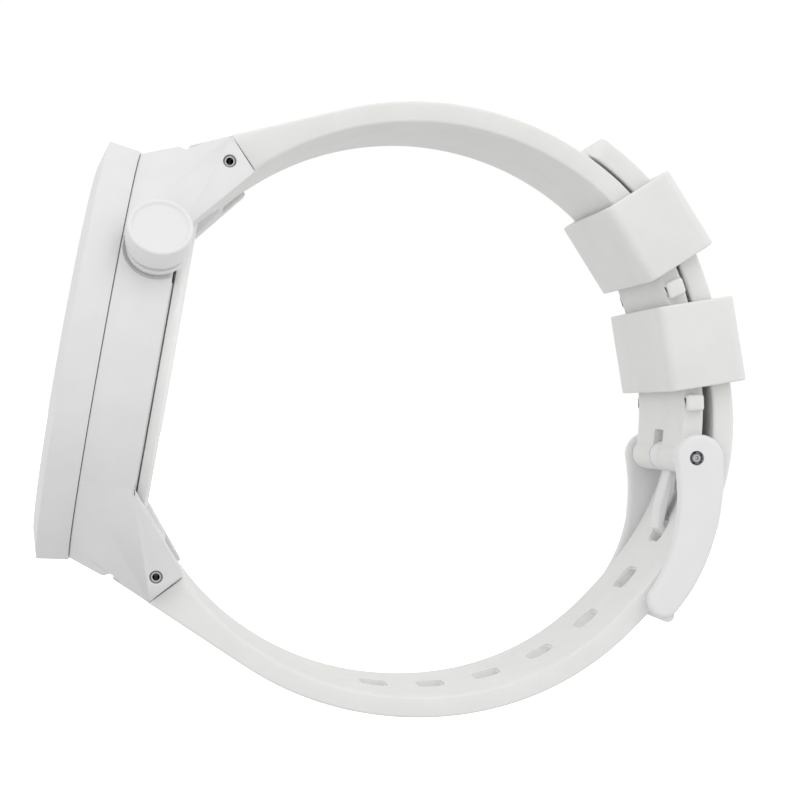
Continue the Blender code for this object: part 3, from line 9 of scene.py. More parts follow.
import json
import logging
import math
from collections.abc import Callable, Iterator
from contextlib import contextmanager
from dataclasses import dataclass, field
from enum import Enum
from typing import Any

import bpy
from mathutils import Matrix, Vector


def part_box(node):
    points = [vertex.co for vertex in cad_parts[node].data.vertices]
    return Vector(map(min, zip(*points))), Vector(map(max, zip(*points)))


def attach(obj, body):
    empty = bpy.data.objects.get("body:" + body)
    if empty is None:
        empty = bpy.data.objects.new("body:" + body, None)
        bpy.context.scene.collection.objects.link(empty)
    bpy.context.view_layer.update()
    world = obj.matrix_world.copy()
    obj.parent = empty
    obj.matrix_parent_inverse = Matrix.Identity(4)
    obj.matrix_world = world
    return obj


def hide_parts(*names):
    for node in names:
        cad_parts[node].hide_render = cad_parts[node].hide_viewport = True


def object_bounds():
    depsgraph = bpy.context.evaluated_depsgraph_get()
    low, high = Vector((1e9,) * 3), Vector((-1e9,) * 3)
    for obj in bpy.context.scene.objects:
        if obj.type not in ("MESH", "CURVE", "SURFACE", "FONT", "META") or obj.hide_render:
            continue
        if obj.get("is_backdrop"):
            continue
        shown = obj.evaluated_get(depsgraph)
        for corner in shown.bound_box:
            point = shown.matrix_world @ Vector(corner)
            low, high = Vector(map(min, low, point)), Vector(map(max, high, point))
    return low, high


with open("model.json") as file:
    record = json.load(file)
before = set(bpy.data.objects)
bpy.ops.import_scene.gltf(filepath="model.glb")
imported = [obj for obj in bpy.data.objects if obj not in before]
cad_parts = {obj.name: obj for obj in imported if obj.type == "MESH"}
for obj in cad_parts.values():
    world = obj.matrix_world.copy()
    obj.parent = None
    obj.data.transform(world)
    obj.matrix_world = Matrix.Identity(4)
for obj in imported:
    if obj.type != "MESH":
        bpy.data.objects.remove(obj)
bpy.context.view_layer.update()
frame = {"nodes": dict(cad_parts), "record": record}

LOG = logging.getLogger("wristwatch")
MM = 0.001
HALF_TURN = math.pi
QUARTER_TURN = math.pi / 2
CLEARANCE = 0.3 * MM  # between parts that move or that are fitted one into another
REACH = 20 * MM  # how far a drill runs each way, past the whole width
DEEP = 3 * MM  # how far a cutter runs each way from the middle of the strap

Point = tuple[float, float]


# ---------------------------------------------------------------- modelling helpers


def deselect_all() -> None:
    """Leaves object mode with nothing selected, so that the next operator acts on one piece
    only.
    """
    if bpy.context.mode != "OBJECT":
        bpy.ops.object.mode_set(mode="OBJECT")
    bpy.ops.object.select_all(action="DESELECT")


def only(piece: bpy.types.Object) -> None:
    """Makes a piece the one that is selected and active.

    Args:
        piece: The object that the next operators act on.
    """
    deselect_all()
    piece.select_set(True)
    bpy.context.view_layer.objects.active = piece


@contextmanager
def editing(piece: bpy.types.Object) -> Iterator[None]:
    """Opens a piece in edit mode with all of its mesh selected, and leaves edit mode at the end.

    Args:
        piece: The object to edit.

    Yields:
        Nothing: the mesh operators act on the piece.
    """
    only(piece)
    bpy.ops.object.mode_set(mode="EDIT")
    bpy.ops.mesh.select_all(action="SELECT")
    yield
    bpy.ops.object.mode_set(mode="OBJECT")


def named(name: str) -> bpy.types.Object:
    """Names the object that the last operator added.

    Args:
        name: The piece's name, which its mesh takes too.

    Returns:
        The new object.
    """
    piece = bpy.context.active_object
    piece.name = name
    piece.data.name = name
    return piece


def settle(piece: bpy.types.Object, place: Matrix | None = None) -> bpy.types.Object:
    """Moves a piece's place into its mesh, so that its object sits unturned at the origin.

    Args:
        piece: The object to settle.
        place: Where its own axes go in the frame, if it was modelled about the origin.

    Returns:
        The same object.
    """
    if place is not None:
        piece.matrix_world = place @ piece.matrix_world
    only(piece)
    bpy.ops.object.transform_apply(location=True, rotation=True, scale=True)
    return piece


def apply_modifier(piece: bpy.types.Object, kind: str, **settings: Any) -> None:
    """Adds a modifier, gives it its settings and applies it.

    Args:
        piece: The object that takes the modifier.
        kind: Blender's name for the modifier's type.
        **settings: The modifier's properties and their values.
    """
    only(piece)
    modifier = piece.modifiers.new(kind.lower(), kind)
    for name, value in settings.items():
        setattr(modifier, name, value)
    bpy.ops.object.modifier_apply(modifier=modifier.name)


def round_edges(
    piece: bpy.types.Object, width: float, segments: int = 3, over: float = 40.0
) -> None:
    """Rounds the edges that are sharper than an angle.

    Args:
        piece: The object whose edges are rounded.
        width: The rounding's width, in metres.
        segments: How many faces make the rounding.
        over: The least angle between two faces, in degrees, whose edge is rounded.
    """
    apply_modifier(
        piece,
        "BEVEL",
        width=width,
        segments=segments,
        limit_method="ANGLE",
        angle_limit=math.radians(over),
        use_clamp_overlap=True,
    )


def combine(piece: bpy.types.Object, other: bpy.types.Object, operation: str) -> None:
    """Joins another shape to a piece, or cuts it out, and removes the other.

    Args:
        piece: The object that changes.
        other: The shape that is joined or cut out.
        operation: UNION or DIFFERENCE.
    """
    apply_modifier(piece, "BOOLEAN", object=other, operation=operation, solver="EXACT")
    bpy.data.objects.remove(other)


def drill(piece: bpy.types.Object, radius: float, place: Matrix, steps: int = 32) -> None:
    """Bores a round hole right through a piece.

    Args:
        piece: The object to bore.
        radius: The hole's radius.
        place: Where the drill's axes go: it runs along local Z.
        steps: How many faces the hole has.
    """
    combine(piece, settle(disc("drill", radius, -REACH, REACH, steps), place), "DIFFERENCE")


def close_up(piece: bpy.types.Object, distance: float = 0.002 * MM) -> None:
    """Merges doubled points and then turns all faces outwards.

    Args:
        piece: The object to close.
        distance: Points nearer than this are one point.
    """
    with editing(piece):
        bpy.ops.mesh.remove_doubles(threshold=distance)
        bpy.ops.mesh.normals_make_consistent(inside=False)


def shade(piece: bpy.types.Object, angle: float = 35.0) -> None:
    """Shades a piece smooth, apart from edges sharper than an angle in degrees."""
    only(piece)
    bpy.ops.object.shade_smooth_by_angle(angle=math.radians(angle))


def turn_profile(
    name: str, profile: list[Point], steps: int = 160, closed: bool = False
) -> bpy.types.Object:
    """Turns a profile about local Z, ring by ring, as a lathe would.

    Args:
        name: The new piece's name.
        profile: The (radius, height) points, from the first ring to the last.
        steps: How many points each ring has.
        closed: True for a hollow ring, and False to cap both ends.

    Returns:
        The turned object, about the origin.
    """
    deselect_all()
    radius, height = profile[0]
    fill = "NOTHING" if closed else "NGON"
    bpy.ops.mesh.primitive_circle_add(
        vertices=steps, radius=radius, fill_type=fill, location=(0, 0, height)
    )
    piece = named(name)
    settle(piece)
    extrude = bpy.ops.mesh.extrude_edges_move if closed else bpy.ops.mesh.extrude_region_move
    with editing(piece):
        for to_radius, to_height in profile[1:] + (profile[:1] if closed else []):
            extrude()
            share = to_radius / radius
            bpy.ops.transform.resize(value=(share, share, 1), center_override=(0, 0, 0))
            bpy.ops.transform.translate(value=(0, 0, to_height - height))
            radius, height = to_radius, to_height
    close_up(piece)
    return piece


def disc(name: str, radius: float, low: float, high: float, steps: int = 64) -> bpy.types.Object:
    """A plain round bar about local Z, as a blank or a cutter."""
    return turn_profile(name, [(radius, low), (radius, high)], steps)


def block(
    name: str, low: Vector | tuple[float, ...], high: Vector | tuple[float, ...]
) -> bpy.types.Object:
    """A square blank between two corners, to be shaped further."""
    deselect_all()
    size = Vector(high) - Vector(low)
    bpy.ops.mesh.primitive_cube_add(size=1, location=(Vector(high) + Vector(low)) / 2, scale=size)
    return settle(named(name))


def plate(name: str, outline: list[Point], low: float, high: float) -> bpy.types.Object:
    """A flat plate in local XY with an outline, between two heights along local Z.

    Args:
        name: The new piece's name.
        outline: The corners, in order.
        low: The height of one face.
        high: The height of the other.

    Returns:
        The plate, about the origin.
    """
    deselect_all()
    bpy.ops.mesh.primitive_circle_add(
        vertices=len(outline), radius=MM, fill_type="NGON", location=(0, 0, 0)
    )
    piece = named(name)
    for vertex, (across, along) in zip(piece.data.vertices, outline):
        vertex.co = (across, along, low)
    with editing(piece):
        bpy.ops.mesh.extrude_region_move(TRANSFORM_OT_translate={"value": (0, 0, high - low)})
    close_up(piece)
    return piece


def copy_turned(piece: bpy.types.Object, name: str, matrix: Matrix) -> bpy.types.Object:
    """A copy of a piece with its own mesh, moved by a matrix.

    Args:
        piece: The object to copy.
        name: The copy's name.
        matrix: What is applied to the copy's mesh.

    Returns:
        The copy.
    """
    made = bpy.data.objects.new(name, piece.data.copy())
    bpy.context.scene.collection.objects.link(made)
    made.data.transform(matrix)
    return made


def merge_into(piece: bpy.types.Object, others: list[bpy.types.Object]) -> bpy.types.Object:
    """Joins loose shapes into one object."""
    only(piece)
    for other in others:
        other.select_set(True)
    bpy.ops.object.join()
    return piece


def on_depth(x: float = 0.0, z: float = 0.0, turn: float = 0.0) -> Matrix:
    """The place of a piece whose local Z is depth and local Y is 12 o'clock, turned clockwise as
    the wearer sees it.
    """
    return Matrix.Translation((x, 0, z)) @ Matrix.Rotation(turn, 4, "Y") @ Matrix.Rotation(
        QUARTER_TURN, 4, "X"
    )


def on_width(y: float, z: float) -> Matrix:
    """The place of a piece whose local Z is +X, local X is +Y and local Y is +Z."""
    turn = Matrix(((0, 0, 1), (1, 0, 0), (0, 1, 0))).to_4x4()
    return Matrix.Translation((0, y, z)) @ turn


def ease(value: float) -> float:
    """0 below 0, 1 above 1, and a smooth rise between them."""
    value = min(1.0, max(0.0, value))
    return value * value * (3 - 2 * value)


def round_slot(half_long: float, half_short: float, corner: float, steps: int = 5) -> list[Point]:
    """The outline of a slot with rounded corners, its long side along local X."""
    found = []
    for across, along, start in ((1, 1, 0), (-1, 1, 90), (-1, -1, 180), (1, -1, 270)):
        for step in range(steps + 1):
            angle = math.radians(start + 90 * step / steps)
            found.append(
                (
                    across * (half_long - corner) + corner * math.cos(angle),
                    along * (half_short - corner) + corner * math.sin(angle),
                )
            )
    return found


# ---------------------------------------------------------------- finishes


def linear(code: str) -> tuple[float, float, float, float]:
    """A colour's sRGB hex value as the linear colour that a shader takes."""
    channels = [int(code[at : at + 2], 16) / 255 for at in (0, 2, 4)]
    red, green, blue = (
        c / 12.92 if c <= 0.04045 else ((c + 0.055) / 1.055) ** 2.4 for c in channels
    )
    return (red, green, blue, 1.0)


def add_node(
    tree: bpy.types.NodeTree, kind: str, settings: dict[str, Any], links: dict[
        str, bpy.types.NodeSocket
    ]
) -> bpy.types.Node:
    """Adds a node, sets its properties and sockets, and links its inputs.

    Args:
        tree: The material's node tree.
        kind: The node's type.
        settings: Values for its sockets or, where it has no socket of that name, its properties.
        links: The output that feeds each named input.

    Returns:
        The new node.
    """
    node = tree.nodes.new(kind)
    for name, value in settings.items():
        if name in node.inputs:
            node.inputs[name].default_value = value
        else:
            setattr(node, name, value)
    for name, source in links.items():
        tree.links.new(source, node.inputs[name])
    return node


def ramp(
    tree: bpy.types.NodeTree, source: bpy.types.NodeSocket, low: str, high: str
) -> bpy.types.NodeSocket:
    """A soft change from one hex colour to another as a pattern rises through its middle.

    Args:
        tree: The material's node tree.
        source: The pattern, from 0 to 1.
        low: The colour where the pattern is low.
        high: The colour where it is high.

    Returns:
        The colour output.
    """
    node = add_node(tree, "ShaderNodeValToRGB", {}, {"Fac": source})
    for stop, place, code in zip(node.color_ramp.elements, (0.3, 0.7), (low, high)):
        stop.position = place
        stop.color = linear(code)
    return node.outputs["Color"]


def spread(
    tree: bpy.types.NodeTree, source: bpy.types.NodeSocket, low: float, high: float
) -> bpy.types.NodeSocket:
    """A pattern from 0 to 1 as a value between two limits, for a roughness that varies."""
    settings = {"To Min": low, "To Max": high}
    return add_node(tree, "ShaderNodeMapRange", settings, {"Value": source}).outputs["Result"]


def lay_pattern(
    tree: bpy.types.NodeTree,
    pattern: bpy.types.NodeSocket,
    tint: bpy.types.NodeSocket,
    rough: tuple[float, float],
    relief: tuple[float, float],
) -> None:
    """Gives a material's shader a colour, and a roughness and relief that follow one pattern.

    Args:
        tree: The material's node tree.
        pattern: The pattern, from 0 to 1.
        tint: The colour.
        rough: The roughness where the pattern is 0 and where it is 1.
        relief: The bump's strength, and its height in millimetres.
    """
    shader = tree.nodes["Principled BSDF"]
    strength, height = relief
    settings = {"Strength": strength, "Distance": height * MM}
    bump = add_node(tree, "ShaderNodeBump", settings, {"Height": pattern})
    tree.links.new(tint, shader.inputs["Base Color"])
    tree.links.new(spread(tree, pattern, *rough), shader.inputs["Roughness"])
    tree.links.new(bump.outputs["Normal"], shader.inputs["Normal"])


def start_material(name: str) -> tuple[bpy.types.Material, bpy.types.Node, bpy.types.NodeSocket]:
    """A new material with its shader and the piece's own Object coordinates.

    Args:
        name: The material's name.

    Returns:
        The material, its Principled shader and the coordinates' output.
    """
    made = bpy.data.materials.new(name)
    made.use_nodes = True
    shader = made.node_tree.nodes["Principled BSDF"]
    place = add_node(made.node_tree, "ShaderNodeTexCoord", {}, {})
    return made, shader, place.outputs["Object"]


def per_metre(size_mm: float) -> float:
    """How many features of a size in millimetres fit in a metre, which is a texture's scale."""
    return 1 / (size_mm * MM)


@dataclass(frozen=True)
class Moulded:
    """A moulded polymer or rubber: a fine grain from the mould over a broad, faint mottle.

    The grain breaks the highlight up, so that the surface reads as matt. The mottle keeps a large
    white face from looking like paper.
    """

    name: str
    colour: str
    mottle: str
    rough: tuple[float, float]
    grain_mm: float = 0.2
    grain_height_mm: float = 0.006
    mottle_mm: float = 5.0
    ior: float = 1.5
    glow_depth: float = 0.0
    coat: float = 0.0

    def material(self) -> bpy.types.Material:
        """Builds the material."""
        made, shader, place = start_material(self.name)
        tree = made.node_tree
        broad = {"Scale": per_metre(self.mottle_mm), "Detail": 4.0, "Roughness": 0.6}
        patches = add_node(tree, "ShaderNodeTexNoise", broad, {"Vector": place})
        fine = {"Scale": per_metre(self.grain_mm), "Detail": 3.0, "Roughness": 0.65}
        grain = add_node(tree, "ShaderNodeTexNoise", fine, {"Vector": place})
        tint = ramp(tree, patches.outputs["Fac"], self.mottle, self.colour)
        lay_pattern(tree, grain.outputs["Fac"], tint, self.rough, (0.6, self.grain_height_mm))
        shader.inputs["IOR"].default_value = self.ior
        shader.inputs["Coat Weight"].default_value = self.coat
        shader.inputs["Coat Roughness"].default_value = 0.12
        if self.glow_depth:
            shader.inputs["Subsurface Weight"].default_value = 0.25
            shader.inputs["Subsurface Radius"].default_value = (1.0, 0.95, 0.9)
            shader.inputs["Subsurface Scale"].default_value = self.glow_depth * MM
        return made


@dataclass(frozen=True)
class BrushedMetal:
    """A machined metal: fine parallel brush marks that stretch the highlight across them."""

    name: str
    colour: str
    dark: str
    rough: tuple[float, float]
    mark_mm: float = 0.06
    stretch: tuple[float, float, float] = (1.0, 1.0, 0.04)
    relief: tuple[float, float] = (0.35, 0.003)

    def material(self) -> bpy.types.Material:
        """Builds the material."""
        made, shader, place = start_material(self.name)
        tree = made.node_tree
        drawn_out = add_node(tree, "ShaderNodeMapping", {"Scale": self.stretch}, {"Vector": place})
        fine = {"Scale": per_metre(self.mark_mm), "Detail": 5.0, "Roughness": 0.6}
        marks = add_node(tree, "ShaderNodeTexNoise", fine, {"Vector": drawn_out.outputs["Vector"]})
        tint = ramp(tree, marks.outputs["Fac"], self.dark, self.colour)
        lay_pattern(tree, marks.outputs["Fac"], tint, self.rough, self.relief)
        shader.inputs["Metallic"].default_value = 1.0
        return made


@dataclass(frozen=True)
class WatchGlass:
    """Polished mineral glass: clear, with a highlight that a trace of polishing haze softens."""

    name: str
    tint: str
    haze_mm: float = 2.0

    def material(self) -> bpy.types.Material:
        """Builds the material."""
        made, shader, place = start_material(self.name)
        tree = made.node_tree
        broad = {"Scale": per_metre(self.haze_mm), "Detail": 3.0}
        haze = add_node(tree, "ShaderNodeTexNoise", broad, {"Vector": place})
        tree.links.new(spread(tree, haze.outputs["Fac"], 0.0, 0.03), shader.inputs["Roughness"])
        shader.inputs["Base Color"].default_value = linear(self.tint)
        shader.inputs["Transmission Weight"].default_value = 1.0
        shader.inputs["IOR"].default_value = 1.52
        return made


@dataclass(frozen=True)
class WoundWire:
    """Enamelled copper wire wound side by side: round ridges, with painted shade in the grooves
    between the turns.
    """

    name: str
    colour: str
    # painted shade for the grooves between turns, used where the bump is lowest
    painted_groove_shade: str
    pitch_mm: float = 0.12
    rough: tuple[float, float] = (0.45, 0.25)
    relief: tuple[float, float] = (0.8, 0.03)

    def material(self) -> bpy.types.Material:
        """Builds the material.

        The real wire is 0.02 mm thick, and is drawn coarser so that it shows.
        """
        made, shader, place = start_material(self.name)
        tree = made.node_tree
        bands = {"Scale": per_metre(self.pitch_mm) / 20, "Distortion": 0.4, "bands_direction": "X"}
        turns = add_node(tree, "ShaderNodeTexWave", bands, {"Vector": place})
        # Painted shade: the wire's colour darkens to the groove colour where the bump is lowest,
        # between the turns
        tint = ramp(tree, turns.outputs["Fac"], self.painted_groove_shade, self.colour)
        lay_pattern(tree, turns.outputs["Fac"], tint, self.rough, self.relief)
        shader.inputs["Metallic"].default_value = 1.0
        return made


@dataclass(frozen=True)
class SolderMask:
    """Glass-fibre board under green solder mask: the woven cloth shows through as a faint grid."""

    name: str
    colour: str
    thread: str
    pitch_mm: float = 0.5
    rough: tuple[float, float] = (0.3, 0.5)
    relief: tuple[float, float] = (0.5, 0.01)

    def material(self) -> bpy.types.Material:
        """Builds the material."""
        made, _, place = start_material(self.name)
        tree = made.node_tree
        cloth = {"Scale": per_metre(self.pitch_mm), "Randomness": 0.25}
        weave = add_node(tree, "ShaderNodeTexVoronoi", cloth, {"Vector": place})
        tint = ramp(tree, weave.outputs["Distance"], self.colour, self.thread)
        lay_pattern(tree, weave.outputs["Distance"], tint, self.rough, self.relief)
        return made


class Finish(Enum):
    """The watch's finishes, each named for its material and how its surface was made."""

    # Injection-moulded white polymer with a fine spark-eroded texture: a soft, even, matt flank
    CASE = Moulded("moulded_case_polymer", "E2E2E2", "DEDEDE", (0.5, 0.68), grain_mm=0.28)
    # The same polymer from a smoother mould: a little brighter, with a broad soft highlight
    FITTINGS = Moulded("moulded_fitting_polymer", "E5E5E6", "E2E2E3", (0.34, 0.46), grain_mm=0.35)
    # White lacquer over the steel back: a clear gloss coat that mirrors the studio
    BACK = Moulded(
        "lacquered_back", "F4F4F3", "F1F1F0", (0.2, 0.26), grain_height_mm=0.001, coat=0.6
    )
    # Liquid-moulded silicone rubber: matt, a little light passing through its thin edges
    SILICONE = Moulded(
        "moulded_silicone",
        "E8E8E6",
        "E4E4E2",
        (0.55, 0.72),
        grain_mm=0.24,
        ior=1.43,
        glow_depth=0.6,
    )
    # Printed dial lacquer: flat white with a powdery grain
    DIAL = Moulded(
        "dial_lacquer", "F0F0ED", "ECECE9", (0.5, 0.6), grain_mm=0.12, grain_height_mm=0.003
    )
    # Nitrile seals: black, soft and dull
    SEAL = Moulded("nitrile_rubber", "26272A", "1F2022", (0.6, 0.8), grain_mm=0.1)
    # Natural acetal resin: waxy off-white, slightly see-through
    ACETAL = Moulded("natural_acetal", "DADAD2", "D2D2C8", (0.4, 0.55), glow_depth=0.8)
    # Epoxy and ceramic packages: dark, with a coarse dull grain
    PACKAGE = Moulded("epoxy_package", "303236", "282A2D", (0.45, 0.65), grain_mm=0.15)
    # Drawn stainless steel: bright, with marks along its length
    STEEL = BrushedMetal(
        "drawn_stainless_steel", "C4C6C8", "A9ABAE", (0.22, 0.38), stretch=(0.04, 1.0, 1.0)
    )
    # Nickel-plated, straight-brushed brass: the cool grey of the hands and hour markers
    NICKEL = BrushedMetal("brushed_nickel_plate", "B4B6B9", "9A9DA0", (0.28, 0.42))
    # Cut and polished wheel brass: warm yellow
    BRASS = BrushedMetal("cut_wheel_brass", "D0AE62", "B08D48", (0.25, 0.4))
    GLASS = WatchGlass("polished_mineral_glass", "F4F8F8")
    # Enamelled copper wire: the darker second colour is painted shade in the grooves between the turns
    COIL = WoundWire("enamelled_copper_wire", "C2743F", "6E3618")
    BOARD = SolderMask("solder_mask_on_glass_fibre", "1B6238", "2C7D4B")


class Dresser:
    """Gives pieces their finish, building each material once."""

    def __init__(self) -> None:
        """Starts with no material built."""
        self._made: dict[Finish, bpy.types.Material] = {}

    def dress(self, piece: bpy.types.Object, finish: Finish) -> None:
        """Replaces whatever a piece wears with a finish.

        Args:
            piece: A new piece or a CAD node.
            finish: What it is made of.
        """
        if finish not in self._made:
            self._made[finish] = finish.value.material()
        if piece.data.materials:
            for at in range(len(piece.data.materials)):
                piece.data.materials[at] = self._made[finish]
        else:
            piece.data.materials.append(self._made[finish])

    def fit(
        self,
        piece: bpy.types.Object,
        node: str,
        body: str,
        finish: Finish,
        angle: float = 35.0,
    ) -> None:
        """Finishes a new piece and lets it stand for a CAD node.

        Args:
            piece: The modelled piece, in its place.
            node: The CAD node that it stands for.
            body: The CAD body that it moves with.
            finish: What it is made of.
            angle: Edges sharper than this many degrees stay crisp.
        """
        shade(piece, angle)
        self.dress(piece, finish)
        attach(piece, body)
        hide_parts(node)
        LOG.info("%s stands for %s: %d faces", piece.name, node, len(piece.data.polygons))


# ---------------------------------------------------------------- strap loop


@dataclass(frozen=True)
class StrapLoop:
    """The buckled strap's loop, in polar form about a centre in the YZ plane.

    The angle is 0 at the buckle pin and grows towards the lugs, upwards on the 12 o'clock side and
    downwards on the 6 o'clock side. The lower strap's tail carries on below 0 and lies outside the
    upper strap.
    """

    centre_y: float = 27.0 * MM
    radius: float = 32.5 * MM
    thickness: float = 2.3 * MM
    half_width: float = 12.0 * MM
    straight_from: float = 113.8
    dip: float = 1.8 * MM
    dip_angles: Point = (60.0, 14.0)
    bulge: float = 0.5 * MM
    lift_from: float = 35.0
    tail_gap: float = 0.35 * MM
    eye_radius: float = 1.75 * MM
    eye_at: float = 31.0 * MM

    def at(self, radius: float, angle: float, side: int = 1) -> Point:
        """The (Y, Z) point at a loop radius and an angle in degrees.

        side is 1 for 12 o'clock and -1 for 6 o'clock.
        """
        turn = math.radians(angle)
        return (self.centre_y + radius * math.cos(turn), side * radius * math.sin(turn))

    def upper(self, angle: float) -> float:
        """The loop radius of the upper strap's middle, which closes in towards its buckle."""
        start, end = self.dip_angles
        return self.radius - self.dip * ease((start - angle) / (start - end))

    def lower(self, angle: float) -> float:
        """The loop radius of the lower strap's middle, which lifts over the buckle's eye into its
        tail.
        """
        over_eye = self.eye_at + self.eye_radius + self.tail_gap + self.thickness / 2
        if angle >= 0:
            base = self.radius + self.bulge * ease((90 - angle) / 45)
            return base + (over_eye - self.radius - self.bulge) * ease(
                (self.lift_from - angle) / self.lift_from
            )
        follow = self.thickness + self.tail_gap
        start = over_eye - self.upper(0) - follow
        return self.upper(-angle) + follow + start * (1 - ease(-angle / self.lift_from))

    def length_at(self, angle: float) -> float:
        """How far along the flat strap an angle lies, in metres."""
        return math.radians(angle) * self.radius

    def wrap(self, piece: bpy.types.Object, middle: Callable[[float], float], side: int) -> None:
        """Bends a flat strap, whose local Y is its length and local Z its outside, onto the loop.

        No operator bends a strip along a loop whose radius changes, so the points are moved by the
        loop's own formula.

        Args:
            piece: The flat strap.
            middle: The loop radius of its middle at an angle.
            side: 1 for the upper strap and -1 for the lower strap.
        """
        for vertex in piece.data.vertices:
            angle = math.degrees(vertex.co.y / self.radius)
            inner = middle(angle) - self.thickness / 2
            outer = inner + self.thickness
            if angle > self.straight_from:
                outer /= math.cos(math.radians(angle - self.straight_from))
            radius = inner + (vertex.co.z / self.thickness + 0.5) * (outer - inner)
            y, z = self.at(radius, angle, side)
            vertex.co = (vertex.co.x, y, z)
        close_up(piece)


# ---------------------------------------------------------------- case


@dataclass
class CaseBody:
    """The case middle with its two pairs of lugs and its pins.

    Depths are from the back.
    """

    rear: float = 1.65 * MM
    front: float = 7.5 * MM
    neck_radius: float = 21.4 * MM
    back_seat_radius: float = 18.6 * MM
    movement_bore: float = 17.6 * MM
    dial_bore: float = 19.2 * MM
    dial_seat: float = 6.3 * MM
    root_z: float = 13.74 * MM
    root_half_width: float = 18.57 * MM
    tip_half_width: float = 13.5 * MM
    tip_outer: Point = (2.0 * MM, 25.4 * MM)
    tip_inner: Point = (5.05 * MM, 21.9 * MM)
    slot_half_width: float = 11.3 * MM
    slot_reach: float = 12.0 * MM
    slot_angles: tuple[float, float] = (141.83, 110.0)
    pin_point: Point = (2.2 * MM, 22.6 * MM)
    pin_hole_radius: float = 0.7 * MM
    pin_radius: float = 0.65 * MM
    pin_bore: float = 0.4 * MM
    edge: float = 0.16 * MM
    lug_inset: float = 0.04 * MM
    loop: StrapLoop = field(default_factory=StrapLoop)
    radius: float = field(init=False)
    neck_front: float = field(init=False)

    def __post_init__(self) -> None:
        """Takes the overall radius and height from the CAD node."""
        low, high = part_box("case_middle")
        self.radius = high.x
        self.neck_front = -low.y

    def _lugs(self, side: int) -> bpy.types.Object:
        """One pair of lugs, as the hull between the case's round side and the lug tips' end face.

        Args:
            side: 1 at 12 o'clock and -1 at 6 o'clock.

        Returns:
            The solid pair, before its slot is cut.
        """
        radius = self.radius - self.lug_inset
        lugs = disc(
            f"lug_pair_{side}",
            radius,
            self.rear + self.lug_inset,
            self.front - self.lug_inset,
            200,
        )
        settle(lugs, on_depth())
        cut = {"plane_co": (0, 0, side * self.root_z), "plane_no": (0, 0, side)}
        with editing(lugs):
            bpy.ops.mesh.bisect(use_fill=True, clear_inner=True, **cut)
        deselect_all()
        (y1, z1), (y2, z2) = self.tip_outer, self.tip_inner
        bpy.ops.mesh.primitive_plane_add(
            size=1,
            location=(0, (y1 + y2) / 2, side * (z1 + z2) / 2),
            rotation=(math.atan2(side * (z2 - z1), y2 - y1), 0, 0),
        )
        end_face = named("lug_end_face")
        end_face.scale = (2 * self.tip_half_width, math.hypot(y2 - y1, z2 - z1), 1)
        settle(end_face)
        # The end face widens inwards, so that each side of the lugs is one flat face
        flare = (self.root_half_width - self.tip_half_width) / (z1 - self.root_z)
        for vertex in end_face.data.vertices:
            vertex.co.x *= 1 + flare * (z1 - abs(vertex.co.z)) / self.tip_half_width
        merge_into(lugs, [end_face])
        with editing(lugs):
            bpy.ops.mesh.convex_hull(
                use_existing_faces=False, join_triangles=True, face_threshold=math.radians(1)
            )
        return lugs

    def _cutters(self) -> list[bpy.types.Object]:
        """The shapes that are cut out of the case: its inside, the strap slots and the lug pins'
        holes.
        """
        seat = self.rear + self.lug_inset / 2
        inside = turn_profile(
            "case_inside",
            [
                (self.dial_bore, self.neck_front + MM),
                (self.dial_bore, self.dial_seat),
                (self.movement_bore, self.dial_seat),
                (self.movement_bore, seat),
                (self.back_seat_radius, seat),
                (self.back_seat_radius, -6 * MM),
            ],
            200,
        )
        made = [settle(inside, on_depth())]
        near, far = self.loop.radius - self.slot_reach, self.loop.radius + self.slot_reach
        start, end = self.slot_angles
        corners = [(near, start), (far, start), (far, end), (near, end)]
        for side in (1, -1):
            outline = [self.loop.at(radius, angle, side) for radius, angle in corners]
            slot = plate(f"lug_slot_{side}", outline, -self.slot_half_width, self.slot_half_width)
            made.append(settle(slot, on_width(0, 0)))
            hole = disc(f"pin_hole_{side}", self.pin_hole_radius, -REACH, REACH, 40)
            made.append(settle(hole, on_width(self.pin_point[0], side * self.pin_point[1])))
        return made

    def build_middle(self) -> bpy.types.Object:
        """Models the case middle, with a recess in its side for the crown.

        Returns:
            The finished mesh, in place.
        """
        middle = turn_profile(
            "case_body",
            [
                (self.radius, self.rear),
                (self.radius, self.front),
                (self.neck_radius, self.front),
                (self.neck_radius, self.neck_front),
            ],
            200,
        )
        settle(middle, on_depth())
        for side in (1, -1):
            combine(middle, self._lugs(side), "UNION")
        for cutter in self._cutters():
            combine(middle, cutter, "DIFFERENCE")
        crown = Crown()
        for name, radius, low in (
            ("crown_recess", crown.flange_radius + CLEARANCE, self.radius - 0.45 * MM),
            ("crown_bore", crown.tube_radius + CLEARANCE, self.movement_bore - MM),
        ):
            cutter = settle(disc(name, radius, low, self.radius + 4 * MM, 64), crown.place())
            combine(middle, cutter, "DIFFERENCE")
        close_up(middle)
        apply_modifier(
            middle,
            "BEVEL",
            width=self.edge,
            segments=2,
            limit_method="ANGLE",
            angle_limit=math.radians(32),
            use_clamp_overlap=False,
            miter_outer="MITER_ARC",
        )
        return middle

    def build_pin(self, name: str, side: int) -> bpy.types.Object:
        """One lug pin: a steel tube with turned ends.

        Args:
            name: The piece's name.
            side: 1 at 12 o'clock and -1 at 6 o'clock.

        Returns:
            The pin, in place.
        """
        low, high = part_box("lug_pin_upper")
        chamfer = 0.12 * MM
        pin = turn_profile(
            name,
            [
                (self.pin_bore, low.x),
                (self.pin_radius - chamfer, low.x),
                (self.pin_radius, low.x + chamfer),
                (self.pin_radius, high.x - chamfer),
                (self.pin_radius - chamfer, high.x),
                (self.pin_bore, high.x),
            ],
            40,
            closed=True,
        )
        return settle(pin, on_width(self.pin_point[0], side * self.pin_point[1]))

